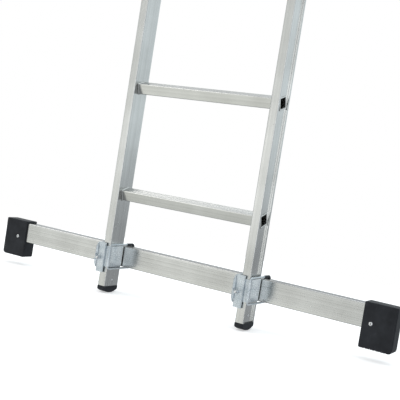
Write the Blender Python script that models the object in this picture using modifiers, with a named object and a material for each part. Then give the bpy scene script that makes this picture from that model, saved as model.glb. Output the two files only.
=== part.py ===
"""Two-section aluminium extension ladder with a clamped-on stabiliser crossbar at its foot.

Axes: +Z runs up the stiles, +X along the rungs to the right, +Y from the climber to the wall.
The ladder is drawn first about its own centre plane, with the front of the base stiles at y = 0
and the lowest point of the feet at z = 0.  SHIFT then puts the origin at the floor, under the
middle of the whole object.
"""

import math

import bmesh
import bpy
from mathutils import Matrix, Vector

MM = 0.001
GAP = 0.3 * MM

# Sections and rungs
RUNG_COUNT = 6
RUNG_PITCH = 280 * MM
FIRST_RUNG_Z = 264.5 * MM
FLY_LIFT_PITCHES = 3
TOP_OVERHANG = 110 * MM
FLY_BOTTOM_OVERHANG = 160 * MM
FLY_FRONT_Y = -62.5 * MM

# Stile profile: a box section whose outer side is a recessed web between two bands
STILE_WIDTH = 22.5 * MM
STILE_DEPTH = 57.5 * MM
STILE_WALL = 1.6 * MM
WEB_RECESS = 4.5 * MM
FRONT_BAND = 6 * MM
REAR_BAND = 6.5 * MM
BASE_HALF_WIDTH = 217.5 * MM
FLY_HALF_WIDTH = 190 * MM
BASE_BOTTOM_Z = 18 * MM

# Rung tube, turned so that its tread is level when the ladder leans
RUNG_DEPTH = 30 * MM
RUNG_HEIGHT = 27 * MM
RUNG_WALL = 1.5 * MM
RUNG_TILT = math.radians(18.9)

# Crossbar and its end shoes
BAR_DEPTH = 32 * MM
BAR_HEIGHT = 55 * MM
BAR_WALL = 2 * MM
BAR_CENTRE_Z = 96.8 * MM
BAR_FRONT_Y = 58.5 * MM
BAR_GROOVE_DEPTH = 0.4 * MM
SHOE_LEFT_X = (-617 * MM, -537.5 * MM)
SHOE_RIGHT_X = (480 * MM, 558 * MM)
SHOE_Y = (54 * MM, 95 * MM)
SHOE_Z = (25 * MM, 130 * MM)
SHOE_END_WALL = 5 * MM
SHOE_RIVET_Z = 82 * MM
SHOE_RIVET_INSETS = {"left": 30 * MM, "right": 21 * MM}

# Clamps
WIRE_RADIUS = 2.5 * MM
SLEEVE_RADIUS = 3.7 * MM
WIRE_BORE = 2.8 * MM
LINK_LEFT = -12.9 * MM
LINK_RIGHT = STILE_WIDTH + 4.5 * MM
LINK_FRONT_Y = -6 * MM
LINK_REAR_SLACK = 3 * MM
LINK_CORNER = 7 * MM
BARREL_HALF_HEIGHT = 24.2 * MM
PLATE_BARREL_RADIUS = 4.2 * MM
SADDLE_BARREL_RADIUS = 5.0 * MM
SHEET = 2.5 * MM
SADDLE_HALF_HEIGHT = 27.2 * MM
PLATE_Z = (53.5 * MM, 131.5 * MM)
PLATE_LEFT = -9.9 * MM
PLATE_RIGHT = 12.5 * MM
BOLT_OFFSET = -3.5 * MM
BOLT_Z = 90.5 * MM
BOLT_RADIUS = 3 * MM
BOLT_HOLE = 3.3 * MM
WING_NUT_TURN = {"left": math.radians(72), "right": math.radians(28)}

# Guides and hooks that join the two sections
GUIDE_HEIGHT = 50 * MM
BASE_GUIDE_Z = 1705 * MM
FLY_GUIDE_RISE = 12 * MM
GUIDE_SHEET = 3 * MM
STRAP_SHEET = 2.5 * MM
HOOK_THICKNESS = 6 * MM
HOOK_PIVOT_Y = -20 * MM
HOOK_PIVOT_RISE = 43 * MM
HOOK_RELEASE = math.radians(115)
HOOK_PIN_RADIUS = 4 * MM
HOOK_HOLE_RADIUS = 4.3 * MM

# Feet, caps and rivets
SOLE_SAGITTA = 8.5 * MM
FOOT_MARGIN = 0.5 * MM
FOOT_RIVET_Z = 34 * MM
RIVET_SHANK = 2.2 * MM
RIVET_HOLE = 2.5 * MM
RIVET_HEAD = 3.4 * MM

BASE_TOP_Z = FIRST_RUNG_Z + (RUNG_COUNT - 1) * RUNG_PITCH + TOP_OVERHANG
FLY_FIRST_RUNG_Z = FIRST_RUNG_Z + FLY_LIFT_PITCHES * RUNG_PITCH
FLY_BOTTOM_Z = FLY_FIRST_RUNG_Z - FLY_BOTTOM_OVERHANG
FLY_TOP_Z = FLY_FIRST_RUNG_Z + (RUNG_COUNT - 1) * RUNG_PITCH + TOP_OVERHANG
BAR_TOP_Z = BAR_CENTRE_Z + BAR_HEIGHT / 2
BAR_BOTTOM_Z = BAR_CENTRE_Z - BAR_HEIGHT / 2
BAR_REAR_Y = BAR_FRONT_Y + BAR_DEPTH
LINK_TOP_Z = BAR_TOP_Z + GAP + SLEEVE_RADIUS
LINK_BOTTOM_Z = BAR_BOTTOM_Z - GAP - SLEEVE_RADIUS
LINK_REAR_Y = BAR_REAR_Y + LINK_REAR_SLACK + SLEEVE_RADIUS
REAR_MOST_Y = LINK_REAR_Y + SLEEVE_RADIUS
GUIDE_FRONT_Y = FLY_FRONT_Y - 1 * MM - GUIDE_SHEET

SHIFT = Vector(
    (
        -(SHOE_LEFT_X[0] + SHOE_RIGHT_X[1]) / 2,
        -(GUIDE_FRONT_Y + REAR_MOST_Y) / 2,
        0,
    )
)

ALONG_X = Matrix(((0, 0, 1, 0), (1, 0, 0, 0), (0, 1, 0, 0), (0, 0, 0, 1)))
ALONG_Y = Matrix(((1, 0, 0, 0), (0, 0, -1, 0), (0, 1, 0, 0), (0, 0, 0, 1)))
ALONG_Z = Matrix.Identity(4)


# ---------------------------------------------------------------- scene and materials


def clear_scene():
    for obj in list(bpy.data.objects):
        bpy.data.objects.remove(obj)


def make_collection(name):
    collection = bpy.data.collections.new(name)
    bpy.context.scene.collection.children.link(collection)
    return collection


def make_material(name, colour, roughness, metallic):
    material = bpy.data.materials.new(name)
    material.use_nodes = True
    shader = material.node_tree.nodes["Principled BSDF"]
    shader.inputs["Base Color"].default_value = (*colour, 1)
    shader.inputs["Roughness"].default_value = roughness
    shader.inputs["Metallic"].default_value = metallic
    return material


clear_scene()
PARTS = make_collection("extension_ladder")
CUTTERS = make_collection("cutters")
ALUMINIUM = make_material("extruded_aluminium", (0.62, 0.63, 0.62), 0.38, 1.0)
ZINC = make_material("zinc_plated_steel", (0.66, 0.69, 0.72), 0.34, 1.0)
PLASTIC = make_material("black_plastic", (0.022, 0.024, 0.028), 0.55, 0.0)
STEEL = make_material("rivet_steel", (0.70, 0.71, 0.72), 0.30, 1.0)


def make_anchor(name, location):
    """An empty that carries pieces placed about it."""
    anchor = bpy.data.objects.new(name, None)
    anchor.location = location
    anchor.empty_display_size = 0.02
    bpy.context.scene.collection.objects.link(anchor)
    return anchor


LADDER = make_anchor("ladder_centre", SHIFT)


# ---------------------------------------------------------------- outlines


def rounded_outline(corners, steps=3):
    """Points of a closed outline whose corners (x, y, radius) are turned into arcs."""
    points = []
    count = len(corners)
    for index, (x, y, radius) in enumerate(corners):
        here = Vector((x, y))
        before = Vector(corners[index - 1][:2]) - here
        after = Vector(corners[(index + 1) % count][:2]) - here
        if radius <= 0:
            points.append(here)
            continue
        before.normalize()
        after.normalize()
        half = before.angle(after) / 2
        reach = radius / math.tan(half)
        centre = here + (before + after).normalized() * (radius / math.sin(half))
        start = here + before * reach - centre
        end = here + after * reach - centre
        turn = start.angle_signed(end)
        for step in range(steps + 1):
            spoke = start.copy()
            spoke.rotate(Matrix.Rotation(-turn * step / steps, 2))
            points.append(centre + spoke)
    return points


def rectangle(x0, x1, y0, y1, radius=0.0, steps=3):
    corners = [(x0, y0, radius), (x1, y0, radius), (x1, y1, radius), (x0, y1, radius)]
    return rounded_outline(corners, steps)


def circle(x, y, radius, sides=24):
    turns = [2 * math.pi * side / sides for side in range(sides)]
    return [Vector((x + radius * math.cos(turn), y + radius * math.sin(turn))) for turn in turns]


def grooved_edge(start, end, count, width, depth):
    """Points along a straight edge with shallow square grooves cut to its left."""
    along = (end - start).normalized()
    inward = Vector((-along.y, along.x)) * depth
    length = (end - start).length
    points = []
    for index in range(count):
        middle = start + along * (length * (index + 0.5) / count)
        near = middle - along * (width / 2)
        far = middle + along * (width / 2)
        points += [near, near + inward, far + inward, far]
    return points


# ---------------------------------------------------------------- solids


def mesh_object(name, mesh, collection, material=None):
    obj = bpy.data.objects.new(name, mesh)
    collection.objects.link(obj)
    if material is not None:
        mesh.materials.clear()
        mesh.materials.append(material)
    obj.parent = LADDER
    return obj


def curve_mesh(curve):
    """The curve's solid as a mesh of its own, with its caps welded on."""
    holder = bpy.data.objects.new("outline", curve)
    bpy.context.scene.collection.objects.link(holder)
    evaluated = holder.evaluated_get(bpy.context.evaluated_depsgraph_get())
    mesh = bpy.data.meshes.new_from_object(evaluated)
    bpy.data.objects.remove(holder)
    bpy.data.curves.remove(curve)
    work = bmesh.new()
    work.from_mesh(mesh)
    bmesh.ops.remove_doubles(work, verts=work.verts, dist=0.002 * MM)
    bmesh.ops.recalc_face_normals(work, faces=work.faces)
    work.to_mesh(mesh)
    work.free()
    return mesh


def extruded_mesh(outlines, low, high, axes):
    """Flat outlines pulled from low to high along the third of the given axes."""
    curve = bpy.data.curves.new("outline", "CURVE")
    curve.dimensions = "2D"
    curve.fill_mode = "BOTH"
    curve.extrude = (high - low) / 2
    for outline in outlines:
        spline = curve.splines.new("POLY")
        spline.points.add(len(outline) - 1)
        for point, place in zip(spline.points, outline):
            point.co = (place.x, place.y, 0, 1)
        spline.use_cyclic_u = True
    mesh = curve_mesh(curve)
    mesh.transform(axes @ Matrix.Translation((0, 0, (low + high) / 2)))
    if axes.determinant() < 0:
        mesh.flip_normals()
    return mesh


def extrusion(name, outlines, low, high, axes, material):
    return mesh_object(name, extruded_mesh(outlines, low, high, axes), PARTS, material)


def turned_mesh(profile, axes, sides=24):
    """A round piece: (radius, height) points down its outer side, spun about the height axis."""
    outline = bpy.data.meshes.new("profile")
    points = [(radius, 0, height) for radius, height in profile]
    outline.from_pydata(points, [(i, i + 1) for i in range(len(points) - 1)], [])
    holder = bpy.data.objects.new("profile", outline)
    bpy.context.scene.collection.objects.link(holder)
    screw = holder.modifiers.new("turn", "SCREW")
    screw.steps = sides
    screw.render_steps = sides
    screw.use_merge_vertices = True
    screw.merge_threshold = 0.001 * MM
    evaluated = holder.evaluated_get(bpy.context.evaluated_depsgraph_get())
    mesh = bpy.data.meshes.new_from_object(evaluated)
    bpy.data.objects.remove(holder)
    bpy.data.meshes.remove(outline)
    mesh.transform(axes)
    smooth(mesh)
    return mesh


def tube_mesh(points, radius, closed):
    """A round wire through the points."""
    curve = bpy.data.curves.new("wire", "CURVE")
    curve.dimensions = "3D"
    curve.bevel_depth = radius
    curve.bevel_resolution = 2
    curve.use_fill_caps = not closed
    spline = curve.splines.new("POLY")
    spline.points.add(len(points) - 1)
    for point, place in zip(spline.points, points):
        point.co = (*place, 1)
    spline.use_cyclic_u = closed
    mesh = curve_mesh(curve)
    smooth(mesh)
    return mesh


def box_mesh(low, high):
    bpy.ops.mesh.primitive_cube_add(size=1)
    cube = bpy.context.active_object
    mesh = cube.data
    bpy.data.objects.remove(cube)
    size = Vector(high) - Vector(low)
    middle = (Vector(high) + Vector(low)) / 2
    mesh.transform(Matrix.Translation(middle) @ Matrix.Diagonal((*size, 1)))
    return mesh


def smooth(mesh, angle=35):
    mesh.shade_smooth()
    mesh.set_sharp_from_angle(angle=math.radians(angle))


def add_cutter(name, mesh):
    cutter = mesh_object(name, mesh, CUTTERS)
    cutter.hide_render = True
    cutter.display_type = "WIRE"
    return cutter


def boolean(obj, other, operation):
    modifier = obj.modifiers.new(other.name, "BOOLEAN")
    modifier.operation = operation
    modifier.object = other
    return modifier


def cut(obj, *cutters):
    for cutter in cutters:
        boolean(obj, cutter, "DIFFERENCE")


def join(obj, mesh):
    boolean(obj, add_cutter(obj.name + "_addition", mesh), "UNION")


def soften(obj, width, segments=2, angle=40):
    bevel = obj.modifiers.new("edges", "BEVEL")
    bevel.width = width
    bevel.segments = segments
    bevel.limit_method = "ANGLE"
    bevel.angle_limit = math.radians(angle)
    smooth(obj.data, angle)


# ---------------------------------------------------------------- ladder sections


def sided(side, half_width, from_inner):
    """The x of a place measured from a stile's inner face towards its outer face."""
    inner = half_width - STILE_WIDTH
    return (inner + from_inner) * (1 if side == "right" else -1)


def stile_outlines(side, half_width, front_y):
    """Outer wall and hollow chamber of a stile, seen from above."""
    width, depth, wall = STILE_WIDTH, STILE_DEPTH, STILE_WALL
    web = width - WEB_RECESS
    rear = depth - REAR_BAND
    outer = [
        (0, 0, 1.5 * MM),
        (0, depth, 1.5 * MM),
        (width, depth, 1.0 * MM),
        (width, rear, 0.5 * MM),
        (web, rear, 0.5 * MM),
        (web, FRONT_BAND, 0.5 * MM),
        (width, FRONT_BAND, 0.5 * MM),
        (width, 0, 1.0 * MM),
    ]
    chamber = [
        (wall, wall, 0),
        (wall, depth - wall, 0),
        (width - wall, depth - wall, 0),
        (width - wall, rear + wall, 0),
        (web - wall, rear + wall, 0),
        (web - wall, FRONT_BAND - wall, 0),
        (width - wall, FRONT_BAND - wall, 0),
        (width - wall, wall, 0),
    ]
    return [
        [Vector((sided(side, half_width, point.x), front_y + point.y)) for point in rounded_outline(corners, 2)]
        for corners in (outer, chamber)
    ]


def rung_frame(centre_y, centre_z):
    """Carries a rung section drawn about its own centre into place, turned to its tread angle."""
    return Matrix.Translation((0, centre_y, centre_z)) @ Matrix.Rotation(RUNG_TILT, 4, "X")


def rung_cutters(section, half_width, centre_y, first_z):
    cutters = []
    for index in range(RUNG_COUNT):
        mesh = box_mesh(
            (-half_width - 5 * MM, -RUNG_DEPTH / 2 - GAP, -RUNG_HEIGHT / 2 - GAP),
            (half_width + 5 * MM, RUNG_DEPTH / 2 + GAP, RUNG_HEIGHT / 2 + GAP),
        )
        mesh.transform(rung_frame(centre_y, first_z + index * RUNG_PITCH))
        cutters.append(add_cutter(f"{section}_rung_hole_{index + 1}", mesh))
    return cutters


def rung_tube_outlines():
    depth, height, wall = RUNG_DEPTH / 2, RUNG_HEIGHT / 2, RUNG_WALL
    outer = rectangle(-depth, depth, -height, height, 2 * MM, 2)
    inner = rectangle(-depth + wall, depth - wall, -height + wall, height - wall)
    return [outer, inner]


def collar_mesh(margin, low, high):
    """A ring that stands out around the rung tube."""
    depth, height = RUNG_DEPTH / 2, RUNG_HEIGHT / 2
    outer = rectangle(-depth - margin, depth + margin, -height - margin, height + margin, 3 * MM, 1)
    bore_depth, bore_height = depth - RUNG_WALL / 2, height - RUNG_WALL / 2
    bore = rectangle(-bore_depth, bore_depth, -bore_height, bore_height)
    return extruded_mesh([outer, bore], low, high, ALONG_X)


def rung_mesh(half_width):
    """A tube through both stiles, flared over on their webs, with a bead against their inner faces."""
    web_x = half_width - WEB_RECESS
    inner_x = half_width - STILE_WIDTH
    end_x = web_x + GAP + 1.4 * MM
    rung = mesh_object("rung", extruded_mesh(rung_tube_outlines(), -end_x, end_x, ALONG_X), CUTTERS)
    rung.parent = None
    collars = (
        (2.4 * MM, web_x + GAP, end_x - 0.25 * MM),
        (1.6 * MM, inner_x - GAP - 2.6 * MM, inner_x - GAP),
    )
    rings = []
    for margin, low, high in collars:
        for sign in (-1, 1):
            ring = collar_mesh(margin, min(sign * low, sign * high), max(sign * low, sign * high))
            rings.append(mesh_object("collar", ring, CUTTERS))
            rings[-1].parent = None
            boolean(rung, rings[-1], "UNION")
    evaluated = rung.evaluated_get(bpy.context.evaluated_depsgraph_get())
    mesh = bpy.data.meshes.new_from_object(evaluated)
    for piece in [rung, *rings]:
        bpy.data.objects.remove(piece)
    return mesh


def make_section(section, half_width, front_y, bottom_z, top_z, first_z):
    """Two stiles and their rungs; gives back the stiles by side."""
    centre_y = front_y + STILE_DEPTH / 2
    holes = rung_cutters(section, half_width, centre_y, first_z)
    stiles = {}
    for side in ("left", "right"):
        outlines = stile_outlines(side, half_width, front_y)
        stile = extrusion(f"{section}_stile_{side}", outlines, bottom_z, top_z, ALONG_Z, ALUMINIUM)
        cut(stile, *holes)
        stiles[side] = stile
    mesh = rung_mesh(half_width)
    for index in range(RUNG_COUNT):
        rung = mesh_object(f"{section}_rung_{index + 1}", mesh, PARTS, ALUMINIUM)
        rung.location = (0, centre_y, first_z + index * RUNG_PITCH)
        rung.rotation_euler = (RUNG_TILT, 0, 0)
    return stiles


def plug_box(side, half_width, front_y, low_z, high_z):
    """The part of a cap or foot that fills the stile's chamber."""
    slack = 2 * GAP
    near = sided(side, half_width, STILE_WALL + slack)
    far = sided(side, half_width, STILE_WIDTH - WEB_RECESS - STILE_WALL - slack)
    return box_mesh(
        (min(near, far), front_y + STILE_WALL + slack, low_z),
        (max(near, far), front_y + STILE_DEPTH - STILE_WALL - slack, high_z),
    )


def make_foot(side, stile):
    """Plastic foot with a curved, grooved sole, plugged into the base stile and riveted there."""
    margin = FOOT_MARGIN
    half = STILE_DEPTH / 2 + margin
    radius = (half**2 + SOLE_SAGITTA**2) / (2 * SOLE_SAGITTA)
    spread = math.asin(half / radius)
    centre_y = STILE_DEPTH / 2
    steps = 15
    turns = [-spread + 2 * spread * step / steps for step in range(steps + 1)]
    level = radius * math.cos(spread / steps)
    sole = [Vector((centre_y + radius * math.sin(turn), level - radius * math.cos(turn))) for turn in turns]
    top_z = BASE_BOTTOM_Z - GAP
    outline = sole + [Vector((centre_y + half, top_z)), Vector((centre_y - half, top_z))]
    near = sided(side, BASE_HALF_WIDTH, -margin)
    far = sided(side, BASE_HALF_WIDTH, STILE_WIDTH + margin)
    foot = extrusion(f"base_foot_{side}", [outline], min(near, far), max(near, far), ALONG_X, PLASTIC)
    soften(foot, 1.0 * MM, 2, 50)
    join(foot, plug_box(side, BASE_HALF_WIDTH, 0, top_z - 4 * MM, 58 * MM))
    bore = turned_mesh([(0, 400 * MM), (RIVET_HOLE, 400 * MM), (RIVET_HOLE, 0), (0, 0)], ALONG_X)
    bore.transform(Matrix.Translation((0 if side == "right" else -400 * MM, centre_y, FOOT_RIVET_Z)))
    hole = add_cutter(f"foot_rivet_hole_{side}", bore)
    cut(foot, hole)
    cut(stile, hole)


def make_cap(name, side, half_width, front_y, end_z, upward):
    """Plastic cap that closes a stile's end."""
    margin = FOOT_MARGIN
    near = sided(side, half_width, -margin)
    far = sided(side, half_width, STILE_WIDTH + margin)
    outline = rectangle(
        min(near, far), max(near, far), front_y - margin, front_y + STILE_DEPTH + margin, 2 * MM
    )
    sign = 1 if upward else -1
    plate = sorted((end_z + sign * GAP, end_z + sign * 5 * MM))
    plug = sorted((end_z - sign * 32 * MM, end_z + sign * 2 * MM))
    cap = extrusion(name, [outline], *plate, ALONG_Z, PLASTIC)
    soften(cap, 0.8 * MM, 2, 50)
    join(cap, plug_box(side, half_width, front_y, *plug))


def rivet_profile(grip, head=RIVET_HEAD, shank=RIVET_SHANK, rise=1.1 * MM):
    """A set rivet along its axis: head above zero, shank through the grip, tail below."""
    dome = [(head * math.sin(turn), rise * math.cos(turn)) for turn in (0, 0.7, 1.2, math.pi / 2)]
    tail = -grip - rise
    return dome + [(shank, 0), (shank, -grip), (head * 0.85, -grip), (head * 0.6, tail), (0, tail)]


def make_foot_rivet(side):
    """From the recessed web of the stile, through the foot's plug, to the inner face."""
    web = sided(side, BASE_HALF_WIDTH, STILE_WIDTH - WEB_RECESS + GAP)
    grip = STILE_WIDTH - WEB_RECESS + 2 * GAP
    mesh = turned_mesh(rivet_profile(grip), ALONG_X, 16)
    if side == "left":
        mesh.transform(Matrix.Rotation(math.pi, 4, "Z"))
    mesh.transform(Matrix.Translation((web, STILE_DEPTH / 2, FOOT_RIVET_Z)))
    mesh_object(f"foot_rivet_{side}", mesh, PARTS, STEEL)


# ---------------------------------------------------------------- crossbar


def make_crossbar():
    """Hollow rectangular beam with fine lengthwise grooves on its front and rear faces."""
    low_z, high_z = BAR_BOTTOM_Z, BAR_TOP_Z
    outer = rectangle(BAR_FRONT_Y, BAR_REAR_Y, low_z, high_z, 2 * MM, 3)
    corner = 4
    rear_start = Vector((BAR_REAR_Y, low_z + 5 * MM))
    rear_end = Vector((BAR_REAR_Y, high_z - 5 * MM))
    front_start = Vector((BAR_FRONT_Y, high_z - 5 * MM))
    front_end = Vector((BAR_FRONT_Y, low_z + 5 * MM))
    rear = grooved_edge(rear_start, rear_end, 6, 0.8 * MM, BAR_GROOVE_DEPTH)
    front = grooved_edge(front_start, front_end, 6, 0.8 * MM, BAR_GROOVE_DEPTH)
    outer = outer[: 2 * corner] + rear + outer[2 * corner :] + front
    inner = rectangle(
        BAR_FRONT_Y + BAR_WALL, BAR_REAR_Y - BAR_WALL, low_z + BAR_WALL, high_z - BAR_WALL, 1 * MM, 2
    )
    left = SHOE_LEFT_X[0] + SHOE_END_WALL + GAP
    right = SHOE_RIGHT_X[1] - SHOE_END_WALL - GAP
    return extrusion("crossbar_beam", [outer, inner], left, right, ALONG_X, ALUMINIUM)


def make_shoe(side, beam):
    """Black end block with a socket for the beam, a large outer-bottom corner and a grooved sole."""
    low_x, high_x = SHOE_LEFT_X if side == "left" else SHOE_RIGHT_X
    outer_bottom, inner_bottom = 9 * MM, 3 * MM
    corners = [
        (low_x, SHOE_Z[0], outer_bottom if side == "left" else inner_bottom),
        (high_x, SHOE_Z[0], inner_bottom if side == "left" else outer_bottom),
        (high_x, SHOE_Z[1], 2.5 * MM),
        (low_x, SHOE_Z[1], 2.5 * MM),
    ]
    shoe = extrusion(
        f"crossbar_shoe_{side}", [rounded_outline(corners, 4)], -SHOE_Y[1], -SHOE_Y[0], ALONG_Y, PLASTIC
    )
    soften(shoe, 1.6 * MM, 3, 50)
    mouth = high_x + 5 * MM if side == "left" else low_x - 5 * MM
    end = low_x + SHOE_END_WALL if side == "left" else high_x - SHOE_END_WALL
    socket = box_mesh(
        (min(mouth, end), BAR_FRONT_Y - GAP, BAR_BOTTOM_Z - GAP),
        (max(mouth, end), BAR_REAR_Y + GAP, BAR_TOP_Z + GAP),
    )
    cut(shoe, add_cutter(f"shoe_socket_{side}", socket))
    for index in range(5):
        x = low_x + 14 * MM + index * 12 * MM
        groove = box_mesh((x, SHOE_Y[0] - 5 * MM, 0), (x + 2.5 * MM, SHOE_Y[1] + 5 * MM, SHOE_Z[0] + 1.5 * MM))
        cut(shoe, add_cutter(f"shoe_groove_{side}_{index + 1}", groove))
    inset = SHOE_RIVET_INSETS[side]
    rivet_x = high_x - inset if side == "left" else low_x + inset
    bore = turned_mesh([(0, 30 * MM), (RIVET_HOLE, 30 * MM), (RIVET_HOLE, 0), (0, 0)], ALONG_Y)
    bore.transform(Matrix.Translation((rivet_x, BAR_FRONT_Y + 10 * MM, SHOE_RIVET_Z)))
    hole = add_cutter(f"shoe_rivet_hole_{side}", bore)
    cut(shoe, hole)
    cut(beam, hole)
    make_shoe_rivet(side, rivet_x)


def make_shoe_rivet(side, rivet_x):
    """Blind rivet with a hollow mandrel hole, through the shoe's front wall and the beam's."""
    head, rise = 4.6 * MM, 1.5 * MM
    pit = 1.3 * MM
    grip = BAR_FRONT_Y + BAR_WALL - SHOE_Y[0] + 2 * GAP
    profile = [
        (0, -2 * MM),
        (pit, -2 * MM),
        (pit, rise),
        (head * 0.55, rise),
        (head * 0.85, rise * 0.62),
        (head, 0),
        (RIVET_SHANK, 0),
        (RIVET_SHANK, -grip),
        (head * 0.75, -grip - 0.4 * MM),
        (head * 0.75, -grip - 3 * MM),
        (0, -grip - 4 * MM),
    ]
    mesh = turned_mesh(profile, ALONG_Y, 16)
    mesh.transform(Matrix.Translation((rivet_x, SHOE_Y[0] - GAP, SHOE_RIVET_Z)))
    mesh_object(f"crossbar_rivet_{side}", mesh, PARTS, STEEL)


# ---------------------------------------------------------------- clamps


def link_path(x):
    """Rectangular wire link around the crossbar, standing in a plane across the stile's side."""
    corners = [
        (LINK_FRONT_Y, LINK_BOTTOM_Z, LINK_CORNER),
        (LINK_REAR_Y, LINK_BOTTOM_Z, LINK_CORNER),
        (LINK_REAR_Y, LINK_TOP_Z, LINK_CORNER),
        (LINK_FRONT_Y, LINK_TOP_Z, LINK_CORNER),
    ]
    return [Vector((x, point.x, point.y)) for point in rounded_outline(corners, 4)]


def make_sleeve(name, x):
    """Black sleeve over the link's upper rear bend, where it bears on the crossbar."""
    bend = rounded_outline(
        [
            (LINK_REAR_Y - 30 * MM, LINK_TOP_Z, 0),
            (LINK_REAR_Y, LINK_TOP_Z, LINK_CORNER),
            (LINK_REAR_Y, LINK_TOP_Z - 20 * MM, 0),
        ],
        4,
    )
    path = [Vector((x, point.x, point.y)) for point in bend]
    sleeve = mesh_object(name, tube_mesh(path, SLEEVE_RADIUS, False), PARTS, PLASTIC)
    longer = [path[0] - Vector((0, 5 * MM, 0))] + path[1:-1] + [path[-1] - Vector((0, 0, 5 * MM))]
    cut(sleeve, add_cutter(name + "_bore", tube_mesh(longer, WIRE_BORE, False)))


def add_barrel(sheet, x, radius):
    """Rolls the sheet's edge round the front leg of a link standing at x."""
    low_z, high_z = BAR_CENTRE_Z - BARREL_HALF_HEIGHT, BAR_CENTRE_Z + BARREL_HALF_HEIGHT
    join(sheet, extruded_mesh([circle(x, LINK_FRONT_Y, radius)], low_z, high_z, ALONG_Z))
    bore = extruded_mesh([circle(x, LINK_FRONT_Y, WIRE_BORE)], low_z - 9 * MM, high_z + 9 * MM, ALONG_Z)
    cut(sheet, add_cutter(sheet.name + "_bore", bore))


def make_saddle(side, stile_x):
    """Bent sheet on the stile's front and right faces, rolled round the inner link at the bend."""
    low_z, high_z = BAR_CENTRE_Z - SADDLE_HALF_HEIGHT, BAR_CENTRE_Z + SADDLE_HALF_HEIGHT
    right = stile_x + STILE_WIDTH + GAP
    corners = [
        (stile_x + 1 * MM, -GAP, 0),
        (stile_x + 1 * MM, -GAP - SHEET, 0),
        (right + SHEET, -GAP - SHEET, 1 * MM),
        (right + SHEET, 50 * MM, 0.8 * MM),
        (right, 50 * MM, 0.8 * MM),
        (right, -GAP, 0.5 * MM),
    ]
    saddle = extrusion(f"clamp_{side}_saddle", [rounded_outline(corners, 3)], low_z, high_z, ALONG_Z, ZINC)
    add_barrel(saddle, stile_x + LINK_RIGHT, SADDLE_BARREL_RADIUS)
    smooth(saddle.data)


def make_plate(side, stile_x, bolt_hole):
    """Tall pressure plate over the saddle, rolled round the outer link, with a folded right edge."""
    rear_y = -GAP - SHEET - GAP
    front_y = rear_y - SHEET
    left, right = stile_x + PLATE_LEFT, stile_x + PLATE_RIGHT
    corners = [
        (left, rear_y, 0.5 * MM),
        (left, front_y, 0.5 * MM),
        (right - 2 * MM, front_y, 1.2 * MM),
        (right - 2 * MM, front_y - 2.5 * MM, 0.8 * MM),
        (right, front_y - 2.5 * MM, 0.8 * MM),
        (right, rear_y, 1 * MM),
    ]
    plate = extrusion(f"clamp_{side}_plate", [rounded_outline(corners, 3)], *PLATE_Z, ALONG_Z, ZINC)
    add_barrel(plate, stile_x + LINK_LEFT, PLATE_BARREL_RADIUS)
    cut(plate, bolt_hole)
    smooth(plate.data)
    return front_y


def make_bolt(side, bolt_x, front_y):
    """Hex bolt from behind the crossbar, past the stile, out through the pressure plate."""
    head_y = BAR_REAR_Y + GAP
    tip_y = front_y - 13 * MM
    shank = [(0, head_y + 1 * MM), (BOLT_RADIUS, head_y + 1 * MM), (BOLT_RADIUS, tip_y + 0.8 * MM)]
    shank += [(BOLT_RADIUS - 0.8 * MM, tip_y), (0, tip_y)]
    flip = Matrix(((-1, 0, 0, 0), (0, 0, 1, 0), (0, 1, 0, 0), (0, 0, 0, 1)))
    mesh = turned_mesh(shank, flip)
    mesh.transform(Matrix.Translation((bolt_x, 0, BOLT_Z)))
    bolt = mesh_object(f"clamp_{side}_bolt", mesh, PARTS, STEEL)
    hexagon = circle(bolt_x, BOLT_Z, 5.75 * MM, 6)
    join(bolt, extruded_mesh([hexagon], -head_y - 4 * MM, -head_y, ALONG_Y))


def make_wing_nut(side, bolt_x, front_y):
    """Hub with two upswept wings; its origin is on the bolt's axis."""
    base_y = front_y - GAP
    anchor = make_anchor(f"wing_nut_axis_{side}", (bolt_x, base_y, BOLT_Z))
    anchor.parent = LADDER
    anchor.rotation_euler = (0, WING_NUT_TURN[side], 0)
    profile = [(0, 9.5 * MM), (4.2 * MM, 9.5 * MM), (4.5 * MM, 5 * MM), (4.8 * MM, 0.5 * MM), (4.5 * MM, 0), (0, 0)]
    nut = mesh_object(f"clamp_{side}_wing_nut", turned_mesh(profile, ALONG_Y, 16), PARTS, ZINC)
    nut.parent = anchor
    for sign in (-1, 1):
        wing = [
            (sign * 2.5 * MM, 5.0 * MM, 0),
            (sign * 6.0 * MM, 5.4 * MM, 1 * MM),
            (sign * 11 * MM, 9.0 * MM, 2 * MM),
            (sign * 12 * MM, 14.5 * MM, 2 * MM),
            (sign * 8 * MM, 14.5 * MM, 1.6 * MM),
            (sign * 2.5 * MM, 8.5 * MM, 0),
        ]
        mesh = extruded_mesh([rounded_outline(wing, 3)], -1.1 * MM, 1.1 * MM, ALONG_Z)
        mesh.transform(Matrix.Rotation(math.pi, 4, "Z"))
        addition = add_cutter(f"clamp_{side}_wing_{'right' if sign > 0 else 'left'}", mesh)
        addition.parent = anchor
        boolean(nut, addition, "UNION")
    bore = turned_mesh(
        [(0, 20 * MM), (BOLT_RADIUS + GAP, 20 * MM), (BOLT_RADIUS + GAP, -5 * MM), (0, -5 * MM)], ALONG_Y, 16
    )
    thread = add_cutter(f"clamp_{side}_wing_nut_bore", bore)
    thread.parent = anchor
    cut(nut, thread)


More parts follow.
